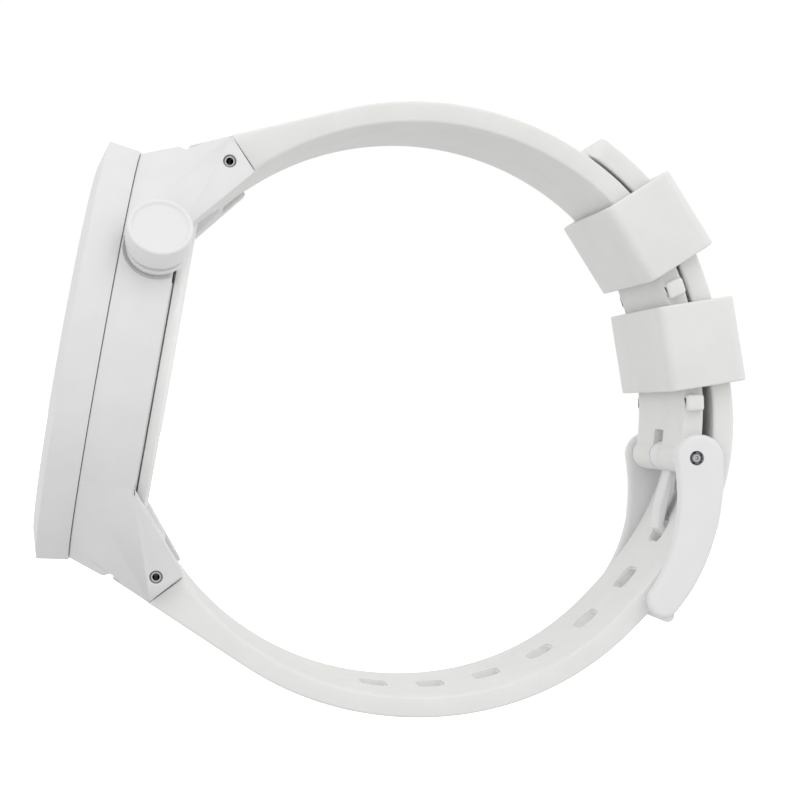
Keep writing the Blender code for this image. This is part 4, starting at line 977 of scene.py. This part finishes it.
    def build(self, dresser: Dresser) -> None:
        """Models and dresses the case middle and both pins."""
        dresser.fit(self.build_middle(), "case_middle", "case", Finish.CASE, 25)
        for name, side in (("upper", 1), ("lower", -1)):
            pin = self.build_pin(f"{name}_lug_tube", side)
            dresser.fit(pin, f"lug_pin_{name}", "case", Finish.STEEL)


@dataclass
class Bezel:
    """The bezel, the crystal in it and the sloping ring round the dial."""

    ledge_radius: float = 18.6 * MM
    neck_clear_radius: float = 21.7 * MM
    rear_radius: float = 23.25 * MM
    face_radius: float = 20.9 * MM
    crystal_bore: float = 20.1 * MM
    ledge: tuple[float, float] = (9.3 * MM, 9.8 * MM)
    rim_depth: float = 11.1 * MM
    edge: float = 0.14 * MM
    crystal_edge: float = 0.35 * MM
    seam: float = 0.07 * MM

    def build(self, dresser: Dresser) -> None:
        """Models and dresses the bezel, the crystal and the flange ring."""
        low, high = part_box("bezel_ring")
        rear, face = CaseBody.front + self.seam, -low.y
        ring = turn_profile(
            "bezel_body",
            [
                (self.ledge_radius, self.ledge[1]),
                (self.ledge_radius, self.ledge[0]),
                (self.neck_clear_radius, self.ledge[0]),
                (self.neck_clear_radius, rear),
                (self.rear_radius, rear),
                (high.x, self.rim_depth),
                (self.face_radius, face),
                (self.crystal_bore, face),
                (self.crystal_bore, self.ledge[1]),
            ],
            240,
            closed=True,
        )
        round_edges(ring, self.edge, 2, 15)
        dresser.fit(settle(ring, on_depth()), "bezel_ring", "case", Finish.CASE, 25)

        low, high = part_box("crystal")
        glass = turn_profile(
            "crystal_glass",
            [
                (high.x, -high.y),
                (high.x, -low.y - self.crystal_edge),
                (high.x - self.crystal_edge, -low.y),
            ],
            200,
        )
        dresser.fit(settle(glass, on_depth()), "crystal", "case", Finish.GLASS)

        low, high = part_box("flange_ring")
        inner = high.x - 1.7 * MM
        flange = turn_profile(
            "dial_surround",
            [(inner, -high.y), (high.x, -high.y), (high.x, -low.y), (inner + 0.8 * MM, -low.y)],
            200,
            closed=True,
        )
        round_edges(flange, 0.08 * MM, 2)
        dresser.fit(settle(flange, on_depth()), "flange_ring", "case", Finish.DIAL)


@dataclass
class CaseBack:
    """The lacquered case back and its coin-slot battery hatch."""

    chamfer: float = 0.35 * MM
    inner_depth: float = 1.35 * MM
    plug_radius: float = 17.3 * MM
    groove: tuple[float, float] = (1.5 * MM, 2.5 * MM)
    groove_floor: float = 16.4 * MM
    plug_depth: float = 2.7 * MM
    plug_inner: float = 15.6 * MM
    hatch_z: float = -9.6 * MM
    boss_wall: float = 0.75 * MM
    boss_front: float = 2.0 * MM
    lip: tuple[float, float] = (1.65 * MM, 0.9 * MM)
    slot_width: float = 1.2 * MM
    slot_depth: float = 0.4 * MM
    step_radius: float = 16.6 * MM
    step_groove: float = 0.3 * MM
    seam: float = 0.06 * MM

    def build(self, dresser: Dresser) -> None:
        """Models and dresses the case back and the hatch."""
        radius = CaseBody.back_seat_radius - self.seam
        groove = self.step_groove
        back = turn_profile(
            "case_back_cover",
            [
                (self.step_radius - groove, 0),
                (self.step_radius, groove / 2),
                (self.step_radius + groove, 0),
                (radius - self.chamfer, 0),
                (radius, self.chamfer),
                (radius, self.inner_depth),
                (self.plug_radius, self.inner_depth),
                (self.plug_radius, self.groove[0]),
                (self.groove_floor, self.groove[0]),
                (self.groove_floor, self.groove[1]),
                (self.plug_radius, self.groove[1]),
                (self.plug_radius, self.plug_depth),
                (self.plug_inner, self.plug_depth),
                (self.plug_inner, self.inner_depth),
            ],
            200,
        )
        hatch_low, hatch_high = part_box("battery_hatch")
        hatch_radius = hatch_high.x
        hole = hatch_radius + CLEARANCE
        at_hatch = on_depth(z=self.hatch_z)
        settle(back, on_depth())
        combine(
            back,
            settle(disc("hatch_boss", hole + self.boss_wall, MM, self.boss_front), at_hatch),
            "UNION",
        )
        lip_depth, lip_width = self.lip
        opening = turn_profile(
            "hatch_opening",
            [
                (hole, -MM),
                (hole, lip_depth),
                (hole - lip_width, lip_depth),
                (hole - lip_width, 4 * MM),
            ],
            96,
        )
        combine(back, settle(opening, at_hatch), "DIFFERENCE")
        round_edges(back, 0.08 * MM, 2, 35)
        dresser.fit(back, "case_back", "case", Finish.BACK, 30)

        hatch = disc("battery_hatch_cap", hatch_radius, 0, -hatch_low.y, 96)
        half = self.slot_width / 2
        cutter = plate(
            "coin_slot", round_slot(2 * hatch_radius, half, half * 0.6), -MM, self.slot_depth
        )
        cutter.data.transform(Matrix.Rotation(QUARTER_TURN, 4, "Z"))
        combine(hatch, cutter, "DIFFERENCE")
        round_edges(hatch, 0.07 * MM, 2, 50)
        dresser.fit(
            settle(hatch, at_hatch), "battery_hatch", "battery_hatch", Finish.BACK
        )


@dataclass
class Crown:
    """The crown at 2 o'clock and the flanged tube that it slides on.

    Heights are along its own axis.
    """

    angle: float = math.radians(30)
    depth: float = 3.75 * MM
    radius: float = 3.45 * MM
    base: float = 24.4 * MM
    top: float = 27.4 * MM
    rim: float = 0.4 * MM
    dish: float = 0.22 * MM
    groove: float = 0.15 * MM
    groove_from_top: float = 0.45 * MM
    tube_radius: float = 2.0 * MM
    tube_bore: float = 1.6 * MM
    tube_start: float = 20.6 * MM
    tube_end: float = 25.7 * MM
    flange_radius: float = 3.2 * MM
    flange_from: float = 22.95 * MM
    flange_thickness: float = 0.7 * MM
    inner_top: float = 26.4 * MM
    stem_bore: float = 0.7 * MM
    stem_top: float = 26.9 * MM

    def place(self) -> Matrix:
        """Where the crown's own axes lie: local Z runs outwards along the crown's axis."""
        at = Matrix.Translation((0, -self.depth, 0))
        return at @ Matrix.Rotation(-self.angle, 4, "Y") @ on_width(0, 0)

    def build(self, dresser: Dresser) -> None:
        """Models and dresses the crown and its tube."""
        outer, groove, groove_at = self.radius, self.groove, self.top - self.groove_from_top
        crown = turn_profile(
            "crown_cap",
            [
                (outer - self.rim - 0.25 * MM, self.top - self.dish),
                (outer - self.rim, self.top),
                (outer - groove, self.top),
                (outer, self.top - groove),
                (outer, groove_at + groove / 3),
                (outer - groove / 3, groove_at),
                (outer, groove_at - groove / 3),
                (outer, self.base + groove),
                (outer - groove, self.base),
                (self.tube_radius + CLEARANCE, self.base),
                (self.tube_radius + CLEARANCE, self.inner_top),
                (self.stem_bore, self.inner_top),
                (self.stem_bore, self.stem_top),
            ],
            128,
        )
        round_edges(crown, 0.05 * MM, 2, 20)
        dresser.fit(
            settle(crown, self.place()),
            "crown",
            "crown_head",
            Finish.FITTINGS,
            40,
        )

        flange_top = self.flange_from + self.flange_thickness
        tube = turn_profile(
            "crown_guide",
            [
                (self.tube_bore, self.tube_start),
                (self.tube_radius, self.tube_start),
                (self.tube_radius, self.flange_from),
                (self.flange_radius, self.flange_from),
                (self.flange_radius, flange_top),
                (self.tube_radius, flange_top),
                (self.tube_radius, self.tube_end),
                (self.tube_bore, self.tube_end),
            ],
            96,
            closed=True,
        )
        round_edges(tube, 0.08 * MM, 2)
        dresser.fit(
            settle(tube, self.place()), "crown_tube", "case", Finish.FITTINGS
        )


# ---------------------------------------------------------------- strap and buckle


@dataclass
class Straps:
    """Both silicone straps, modelled flat and then bent onto the loop."""

    loop: StrapLoop = field(default_factory=StrapLoop)
    lug_half_width: float = 11.0 * MM
    lug_face_angle: float = 134.27
    end_angle: float = 141.3
    eye_end_angle: float = 1.5
    tail_angle: float = -65.6
    tail_corner: float = 1.4 * MM
    step_angle: float = 1.0
    edge: float = 0.32 * MM
    stop_angles: tuple[float, ...] = (35.0, 11.3)
    stop_span: float = 3.4
    stop_height: float = 1.3 * MM
    stop_thickness: float = 2.0 * MM
    first_hole: float = 15.4
    hole_pitch: float = 11.9
    holes: range = range(-3, 7)
    hole_half: Point = (2.6 * MM, 1.35 * MM)
    hole_corner: float = 1.0 * MM
    hole_lip: float = 0.22 * MM
    tongue_half_width: float = 2.4 * MM
    tongue_slot_top: float = 2.81 * MM
    pin_hole: float = 0.8 * MM
    lug_pin_hole: float = 0.95 * MM
    lug_pin_point: Point = (2.2 * MM, 22.6 * MM)

    def _blank(self, name: str, start: float, end: float) -> bpy.types.Object:
        """A flat strap between two angles, with rounded long edges.

        Args:
            name: The piece's name.
            start: The angle at one end.
            end: The angle at the other.

        Returns:
            The flat strap, with a row of points for each step of angle.
        """
        deselect_all()
        low, high = self.loop.length_at(start), self.loop.length_at(end)
        rows = round(abs(end - start) / self.step_angle)
        bpy.ops.mesh.primitive_grid_add(
            x_subdivisions=2,
            y_subdivisions=rows,
            size=1,
            location=(0, (low + high) / 2, 0),
        )
        strap = named(name)
        strap.scale = (2 * self.loop.half_width, abs(high - low), 1)
        settle(strap)
        apply_modifier(strap, "SOLIDIFY", thickness=self.loop.thickness, offset=0.0)
        close_up(strap)
        round_edges(strap, self.edge, 4, 60)
        return strap

    def _narrow_end(self, strap: bpy.types.Object) -> None:
        """Cuts the strap's sides back where it passes between the lugs."""
        reach = self.loop.half_width + MM
        low = self.loop.length_at(self.lug_face_angle)
        high = self.loop.length_at(self.end_angle) + MM
        for side in (1, -1):
            inner, outer = sorted((side * self.lug_half_width, side * reach))
            cutter = block("lug_shoulder", (inner, low, -DEEP), (outer, high, DEEP))
            combine(strap, cutter, "DIFFERENCE")

    def _add_stops(self, strap: bpy.types.Object) -> None:
        """Adds the pairs of small ears that hold each keeper in its place."""
        reach = self.loop.half_width + self.stop_height
        for angle in self.stop_angles:
            low = self.loop.length_at(angle - self.stop_span / 2)
            high = self.loop.length_at(angle + self.stop_span / 2)
            half = self.stop_thickness / 2
            ears = block("strap_ears", (-reach, low, -half), (reach, high, half))
            round_edges(ears, 0.4 * MM, 3)
            combine(strap, ears, "UNION")

    def _round_tail(self, strap: bpy.types.Object) -> None:
        """Rounds the tail's corners by keeping only what lies inside a rounded outline."""
        half, corner = self.loop.half_width + MM, self.tail_corner
        end = self.loop.length_at(self.tail_angle)
        for side in (1, -1):
            centre = (side * (self.loop.half_width - corner), end + corner)
            outline = [(side * half, end - MM), (side * half, centre[1])]
            for step in range(9):
                turn = QUARTER_TURN * step / 8
                outline.append(
                    (
                        centre[0] + side * corner * math.cos(turn),
                        centre[1] - corner * math.sin(turn),
                    ),
                )
            outline.append((centre[0], end - MM))
            cutter = plate("tail_corner", outline, -DEEP, DEEP)
            combine(strap, cutter, "DIFFERENCE")

    def _cut_holes(self, strap: bpy.types.Object) -> None:
        """Cuts the buckle holes, each with a shallow lip on both faces."""
        long, short = self.hole_half
        lip = self.hole_lip
        hole = plate("buckle_hole", round_slot(long, short, self.hole_corner), -DEEP, DEEP)
        wide = round_slot(long + lip, short + lip, self.hole_corner + lip)
        half = self.loop.thickness / 2
        mouths = [
            plate("hole_mouth", wide, *span) for span in ((half - lip, DEEP), (-DEEP, lip - half))
        ]
        cutters = []
        for number in self.holes:
            along = self.loop.length_at(self.first_hole + self.hole_pitch * number)
            move = Matrix.Translation((0, along, 0))
            cutters += [copy_turned(shape, "hole_cutter", move) for shape in (hole, *mouths)]
        for cutter in cutters:
            combine(strap, cutter, "DIFFERENCE")
        for shape in (hole, *mouths):
            bpy.data.objects.remove(shape)

    def _cut_lug_pin_hole(self, strap: bpy.types.Object, side: int) -> None:
        """Cuts the hole for the lug pin through the strap's end."""
        y, z = self.lug_pin_point
        drill(strap, self.lug_pin_hole, on_width(y, side * z))

    def build_upper(self) -> bpy.types.Object:
        """Models the upper strap, with its ears, its eye for the buckle pin and the slot for the
        tongue.
        """
        strap = self._blank("upper_strap_rubber", self.eye_end_angle, self.end_angle)
        self._add_stops(strap)
        self._narrow_end(strap)
        self.loop.wrap(strap, self.loop.upper, 1)
        centre = self.loop.centre_y + self.loop.eye_at
        half = self.loop.half_width - 0.02 * MM
        eye = disc("strap_eye", self.loop.eye_radius, -half, half, 48)
        round_edges(eye, 0.3 * MM, 3)
        combine(strap, settle(eye, on_width(centre, 0)), "UNION")
        drill(strap, self.pin_hole, on_width(centre, 0))
        width, reach = self.tongue_half_width, 5 * MM
        slot = block(
            "tongue_slot", (-width, centre - reach, -reach), (
                width, centre + reach, self.tongue_slot_top
            )
        )
        round_edges(slot, 0.5 * MM, 3)
        combine(strap, slot, "DIFFERENCE")
        self._cut_lug_pin_hole(strap, 1)
        return strap

    def build_lower(self) -> bpy.types.Object:
        """Models the lower strap, with its buckle holes and its rounded tail."""
        strap = self._blank("lower_strap_rubber", self.tail_angle, self.end_angle)
        self._narrow_end(strap)
        self._round_tail(strap)
        self._cut_holes(strap)
        self.loop.wrap(strap, self.loop.lower, -1)
        self._cut_lug_pin_hole(strap, -1)
        return strap

    def build(self, dresser: Dresser) -> None:
        """Models and dresses both straps."""
        dresser.fit(self.build_upper(), "upper_strap", "case", Finish.SILICONE, 30)
        dresser.fit(self.build_lower(), "lower_strap", "case", Finish.SILICONE, 30)


@dataclass
class Keepers:
    """The two silicone keepers that hold the strap's tail down."""

    loop: StrapLoop = field(default_factory=StrapLoop)
    angles: Point = (47.0, 22.9)
    length: float = 9.4 * MM
    wall: float = 1.15 * MM
    side_wall: float = 1.6 * MM
    side_gap: float = 0.45 * MM
    clearance: float = 0.4 * MM
    rounding: float = 1.15 * MM
    mouth: float = 0.25 * MM

    def build_one(self, name: str, angle: float) -> bpy.types.Object:
        """Models one keeper: a straight rounded block with a rectangular opening.

        Args:
            name: The piece's name.
            angle: Where its middle lies on the loop, in degrees.

        Returns:
            The keeper, in place.
        """
        loop, half_length = self.loop, self.length / 2
        sag = half_length**2 / (2 * loop.radius)
        low = loop.upper(angle) - loop.thickness / 2 - self.clearance - sag
        high = loop.lower(-angle) + loop.thickness / 2 + self.clearance
        rise = loop.upper(angle + 5) - loop.upper(angle - 5)
        slope = rise / (math.radians(10) * loop.upper(angle))
        y, z = loop.at((low + high) / 2, angle)
        turn = Matrix.Rotation(math.radians(angle) - QUARTER_TURN - math.atan(slope), 4, "X")
        half, depth = loop.half_width + self.side_gap, (high - low) / 2
        outline = round_slot(half + self.side_wall, depth + self.wall, self.rounding, 8)
        keeper = plate(name, outline, -half_length, half_length)
        settle(keeper, Matrix.Rotation(QUARTER_TURN, 4, "X"))
        opening = block(
            "keeper_opening", (-half, -2 * half_length, -depth), (half, 2 * half_length, depth)
        )
        combine(keeper, opening, "DIFFERENCE")
        round_edges(keeper, self.mouth, 3, 60)
        return settle(keeper, Matrix.Translation((0, y, z)) @ turn)

    def build(self, dresser: Dresser) -> None:
        """Models and dresses both keepers."""
        for node, angle in zip(("keeper_upper", "keeper_lower"), self.angles):
            keeper = self.build_one(f"{node}_loop", angle)
            dresser.fit(keeper, node, node, Finish.SILICONE)


@dataclass
class Buckle:
    """The pin buckle: a frame of two tapering side plates and a crossbar, its pin and its
    tongue.
    """

    loop: StrapLoop = field(default_factory=StrapLoop)
    inner_half_width: float = 12.7 * MM
    outer_half_width: float = 14.5 * MM
    top_radius: float = 2.65 * MM
    foot_radius: float = 1.8 * MM
    outset: float = 0.4 * MM
    foot: Point = (34.2 * MM, 28.0)
    edge: float = 0.5 * MM
    bar_radius: float = 0.8 * MM
    bar: Point = (35.55 * MM, 29.5)
    pin_radius: float = 0.5 * MM
    pin_hole: float = 0.8 * MM
    tongue_half_width: float = 2.1 * MM
    tongue_thickness: float = 0.9 * MM
    tongue_offset: float = 0.65 * MM
    first_hole: float = 15.4

    def _outline(self) -> list[Point]:
        """The side plate's outline from the pin's axis: two round ends joined by curved, tapering
        edges.
        """
        steps, ends = 28, 18
        foot_at, foot_angle = self.foot
        middles, sizes = [], []
        for step in range(steps + 1):
            share = step / steps
            start = self.loop.eye_at + self.outset
            at = start + (foot_at - start) * math.sin(share * QUARTER_TURN)
            y, z = self.loop.at(at, -foot_angle * share)
            middles.append(Vector((y - self.loop.centre_y - self.loop.eye_at, z)))
            sizes.append(self.top_radius + (self.foot_radius - self.top_radius) * share)
        normals = []
        for step in range(steps + 1):
            along = (middles[min(steps, step + 1)] - middles[max(0, step - 1)]).normalized()
            normals.append(Vector((-along.y, along.x)))
        right = [m - n * s for m, n, s in zip(middles, normals, sizes)]
        left = [m + n * s for m, n, s in zip(middles, normals, sizes)]
        outline = list(right)
        for middle, size, start in (
            (middles[-1], sizes[-1], right[-1]), (middles[0], sizes[0], left[0])
        ):
            begin = math.atan2(start.y - middle.y, start.x - middle.x)
            for step in range(1, ends):
                turn = begin + HALF_TURN * step / ends
                outline.append(middle + Vector((math.cos(turn), math.sin(turn))) * size)
            if middle is middles[-1]:
                outline += list(reversed(left))
        return [(point.x, point.y) for point in outline]

    def _pin_place(self) -> Matrix:
        """Where the pin's own axes lie."""
        return on_width(self.loop.centre_y + self.loop.eye_at, 0)

    def build_frame(self) -> bpy.types.Object:
        """Models the frame, with its edges rounded and the pin's hole through both plates."""
        inner, outer = self.inner_half_width, self.outer_half_width
        outline = self._outline()
        frame_piece = plate("buckle_side_plates", outline, inner, outer)
        round_edges(frame_piece, self.edge, 4, 50)
        far = copy_turned(
            frame_piece, "buckle_far_plate", Matrix.Translation((0, 0, -inner - outer))
        )
        merge_into(frame_piece, [far])
        settle(frame_piece, self._pin_place())
        half = (inner + outer) / 2
        bar = disc("buckle_crossbar", self.bar_radius, -half, half, 40)
        y, z = self.loop.at(self.bar[0], -self.bar[1])
        combine(frame_piece, settle(bar, on_width(y, z)), "UNION")
        drill(frame_piece, self.pin_hole, self._pin_place(), 40)
        return frame_piece

    def build_pin(self) -> bpy.types.Object:
        """Models the pin, a steel bar with turned ends."""
        low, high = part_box("buckle_pin")
        chamfer, core = 0.1 * MM, 0.22 * MM
        pin = turn_profile(
            "buckle_bar_pin",
            [
                (core * 0.6, low.x + core),
                (core, low.x),
                (self.pin_radius - chamfer, low.x),
                (self.pin_radius, low.x + chamfer),
                (self.pin_radius, high.x - chamfer),
                (self.pin_radius - chamfer, high.x),
                (core, high.x),
                (core * 0.6, high.x - core),
            ],
            40,
        )
        return settle(pin, self._pin_place())

    def _tongue_line(self) -> list[Vector]:
        """The tongue's centre line: straight inside the strap, then out through the hole to the
        crossbar.
        """
        loop, first = self.loop, self.first_hole
        inside = loop.eye_at + self.tongue_offset
        middle = loop.lower(first)
        outside = middle + loop.thickness / 2 + self.tongue_thickness / 2 + 0.45 * MM
        stop = self.bar[1] - math.degrees((self.bar_radius + 0.4 * MM) / self.bar[0])
        spots = [
            (inside, 0.5),
            (inside, first - 4.0),
            (middle - loop.thickness * 0.7, first - 0.6),
            (middle + loop.thickness * 0.7, first + 0.9),
            (outside, first + 3.6),
            (outside + 0.05 * MM, stop),
        ]
        return [Vector(loop.at(radius, angle, -1)) for radius, angle in spots]

    def build_tongue(self) -> bpy.types.Object:
        """Models the tongue, with its round hub on the pin."""
        line = self._tongue_line()
        centre = Vector((self.loop.centre_y + self.loop.eye_at, 0))
        left, right = [], []
        for at, point in enumerate(line):
            along = (line[min(len(line) - 1, at + 1)] - line[max(0, at - 1)]).normalized()
            side = Vector((-along.y, along.x)) * self.tongue_thickness / 2
            left.append(point + side - centre)
            right.append(point - side - centre)
        half = self.tongue_half_width
        outline = [(p.x, p.y) for p in left + list(reversed(right))]
        tongue = plate("buckle_tongue_bar", outline, 0.03 * MM - half, half - 0.03 * MM)
        round_edges(tongue, 0.2 * MM, 3, 50)
        hub = disc("tongue_hub", self.loop.eye_radius, -half, half, 48)
        round_edges(hub, 0.2 * MM, 3, 50)
        combine(tongue, hub, "UNION")
        drill(tongue, self.pin_hole, Matrix())
        return settle(tongue, self._pin_place())

    def build(self, dresser: Dresser) -> None:
        """Models and dresses the frame, the pin and the tongue."""
        frame_piece = self.build_frame()
        dresser.fit(frame_piece, "buckle_frame", "buckle_frame", Finish.FITTINGS)
        tongue = self.build_tongue()
        dresser.fit(tongue, "buckle_tongue", "buckle_tongue", Finish.FITTINGS)
        dresser.fit(self.build_pin(), "buckle_pin", "case", Finish.STEEL)


# ---------------------------------------------------------------- dial and movement


@dataclass
class DialFace:
    """The dial with its printed minute track. The hands and hour markers keep their CAD shapes."""

    hole_radius: float = 1.85 * MM
    edge: float = 0.06 * MM
    track_radius: float = 16.9 * MM
    tick_long: float = 0.55 * MM
    tick_wide: float = 0.1 * MM
    tick_high: float = 0.03 * MM

    def build(self, dresser: Dresser) -> None:
        """Models and dresses the dial plate and its minute track."""
        low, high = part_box("dial")
        rear, front = -high.y, -low.y
        dial = turn_profile(
            "dial_plate",
            [(self.hole_radius, rear), (high.x, rear), (high.x, front), (self.hole_radius, front)],
            200,
            closed=True,
        )
        round_edges(dial, self.edge, 2)
        dresser.fit(settle(dial, on_depth()), "dial", "case", Finish.DIAL)

        half = self.tick_wide / 2
        outer = self.track_radius + self.tick_long
        tick = block(
            "tick", (-half, self.track_radius, front), (half, outer, front + self.tick_high)
        )
        round_edges(tick, 0.01 * MM, 1)
        turns = [on_depth(turn=HALF_TURN * minute / 30) for minute in range(60)]
        ticks = [copy_turned(tick, f"tick_{at}", turn) for at, turn in enumerate(turns)]
        bpy.data.objects.remove(tick)
        track = merge_into(ticks[0], ticks[1:])
        track.name = "minute_track"
        track.data.name = track.name
        shade(track)
        dresser.dress(track, Finish.PACKAGE)
        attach(track, "case")
        LOG.info("%s: %d faces", track.name, len(track.data.polygons))


SLOT_FINISHES = {
    "white_case": Finish.CASE,
    "white_fittings": Finish.FITTINGS,
    "white_back": Finish.BACK,
    "silicone": Finish.SILICONE,
    "crystal": Finish.GLASS,
    "steel": Finish.STEEL,
    "brass": Finish.BRASS,
    "copper": Finish.COIL,
    "seal": Finish.SEAL,
    "circuit": Finish.BOARD,
    "dark_plastic": Finish.PACKAGE,
    "dial_white": Finish.DIAL,
    "plate": Finish.NICKEL,
    "natural_plastic": Finish.ACETAL,
}


def dress_cad_nodes(dresser: Dresser) -> None:
    """Gives every CAD node that is still shown the finish of its own material slot.

    Args:
        dresser: What builds and assigns the finishes.
    """
    for row in frame["record"]["subparts"]:
        node = frame["nodes"][row["node"]]
        if not node.hide_render:
            dresser.dress(node, SLOT_FINISHES[row["material_slot"]])
            LOG.info("%s keeps its CAD shape", row["node"])


# ---------------------------------------------------------------- studio


@dataclass
class Studio:
    """A pale seamless floor, a white surround that dims below, two large soft lights and the
    camera at 3 o'clock.
    """

    floor_size: float = 6.0
    floor_thickness: float = 20 * MM
    floor_gap: float = 0.4 * MM
    above: float = 1.02
    below: float = 0.76
    key_power: float = 0.95
    fill_power: float = 0.35
    camera_at: tuple[float, float, float] = (0.267, -0.00115, -0.00505)
    aim_at: tuple[float, float, float] = (0.0, 0.0262, 0.0009)
    up: tuple[float, float, float] = (0.0, -0.1736, 0.9848)
    lens: float = 105.8

    def build_floor(self) -> None:
        """Models the floor: a wide slab with a rounded rim, so pale that it merges with the
        surround.
        """
        low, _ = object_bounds()
        thick = self.floor_thickness
        under = (0, 0, low.z - self.floor_gap - thick)
        deselect_all()
        bpy.ops.mesh.primitive_circle_add(
            vertices=96, radius=self.floor_size / 2, fill_type="NGON", location=under
        )
        floor = settle(named("studio_floor"))
        with editing(floor):
            bpy.ops.mesh.extrude_region_move(TRANSFORM_OT_translate={"value": (0, 0, thick)})
        close_up(floor)
        made, shader, place = start_material("studio_paper")
        # Matt background paper: a faint fibre grain, lit from within to stay as white as the surround
        fibre = add_node(
            made.node_tree, "ShaderNodeTexNoise", {"Scale": per_metre(30.0), "Detail": 3.0}, {
                "Vector": place
            }
        )
        made.node_tree.links.new(
            ramp(made.node_tree, fibre.outputs["Fac"], "F6F6F6", "FAFAFA"), shader.inputs[
                "Base Color"
            ]
        )
        shader.inputs["Roughness"].default_value = 1.0
        shader.inputs["Specular IOR Level"].default_value = 0.0
        shader.inputs["Emission Color"].default_value = (1.0, 1.0, 1.0, 1.0)
        shader.inputs["Emission Strength"].default_value = 0.9
        floor.data.materials.append(made)
        # The paper's own glow doesn't light the watch: the dimmer lower surround lights its undersides
        floor.visible_diffuse = False
        floor.visible_glossy = False
        floor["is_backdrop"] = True

    def build_light(self, name: str, at: Vector, size: float, power: float) -> None:
        """Adds a large square light that faces the watch.

        Args:
            name: The light's name.
            at: Where it stands.
            size: Its side, in metres.
            power: Its power, in watts.
        """
        light = bpy.data.lights.new(name, "AREA")
        light.size = size
        light.energy = power
        holder = bpy.data.objects.new(name, light)
        bpy.context.scene.collection.objects.link(holder)
        holder.location = at
        holder.rotation_euler = (Vector(self.aim_at) - at).to_track_quat("-Z", "Y").to_euler()

    def build_camera(self) -> None:
        """Adds the camera, rolled as the watch is seen from its 3 o'clock side."""
        data = bpy.data.cameras.new("studio_camera")
        data.lens = self.lens
        data.clip_start, data.clip_end = 0.01, 20.0
        camera = bpy.data.objects.new("studio_camera", data)
        bpy.context.scene.collection.objects.link(camera)
        back = (Vector(self.camera_at) - Vector(self.aim_at)).normalized()
        right = Vector(self.up).cross(back).normalized()
        turn = Matrix((right, back.cross(right), back)).transposed()
        camera.matrix_world = Matrix.Translation(self.camera_at) @ turn.to_4x4()
        bpy.context.scene.camera = camera

    def build(self) -> None:
        """Sets up the surround, the floor, the lights and the camera."""
        world = bpy.data.worlds.new("white_surround")
        world.use_nodes = True
        tree = world.node_tree
        background = tree.nodes["Background"]
        background.inputs["Color"].default_value = (1.0, 1.0, 1.0, 1.0)
        place = add_node(tree, "ShaderNodeTexCoord", {}, {})
        height = add_node(
            tree, "ShaderNodeSeparateXYZ", {}, {"Vector": place.outputs["Generated"]}
        )
        limits = {"From Min": -0.5, "From Max": -0.02, "To Min": self.below, "To Max": self.above}
        strength = add_node(tree, "ShaderNodeMapRange", limits, {"Value": height.outputs["Z"]})
        tree.links.new(strength.outputs["Result"], background.inputs["Strength"])
        bpy.context.scene.world = world
        bpy.context.scene.view_settings.view_transform = "Standard"
        self.build_floor()
        self.build_light("key_light", Vector((0.6, 0.15, 0.75)), 0.6, self.key_power)
        self.build_light("fill_light", Vector((0.5, -0.7, -0.02)), 0.7, self.fill_power)
        self.build_camera()


def main() -> None:
    """Builds the watch, sub-assembly by sub-assembly, and then the studio round it."""
    dresser = Dresser()
    for part in (
        CaseBody(), Bezel(), CaseBack(), Crown(), Straps(), Keepers(), Buckle(), DialFace()
    ):
        LOG.info("building %s", type(part).__name__)
        part.build(dresser)
    dress_cad_nodes(dresser)
    Studio().build()
    deselect_all()


if __name__ == "__main__":
    logging.basicConfig(level=logging.INFO, format="%(name)s: %(message)s")
    main()
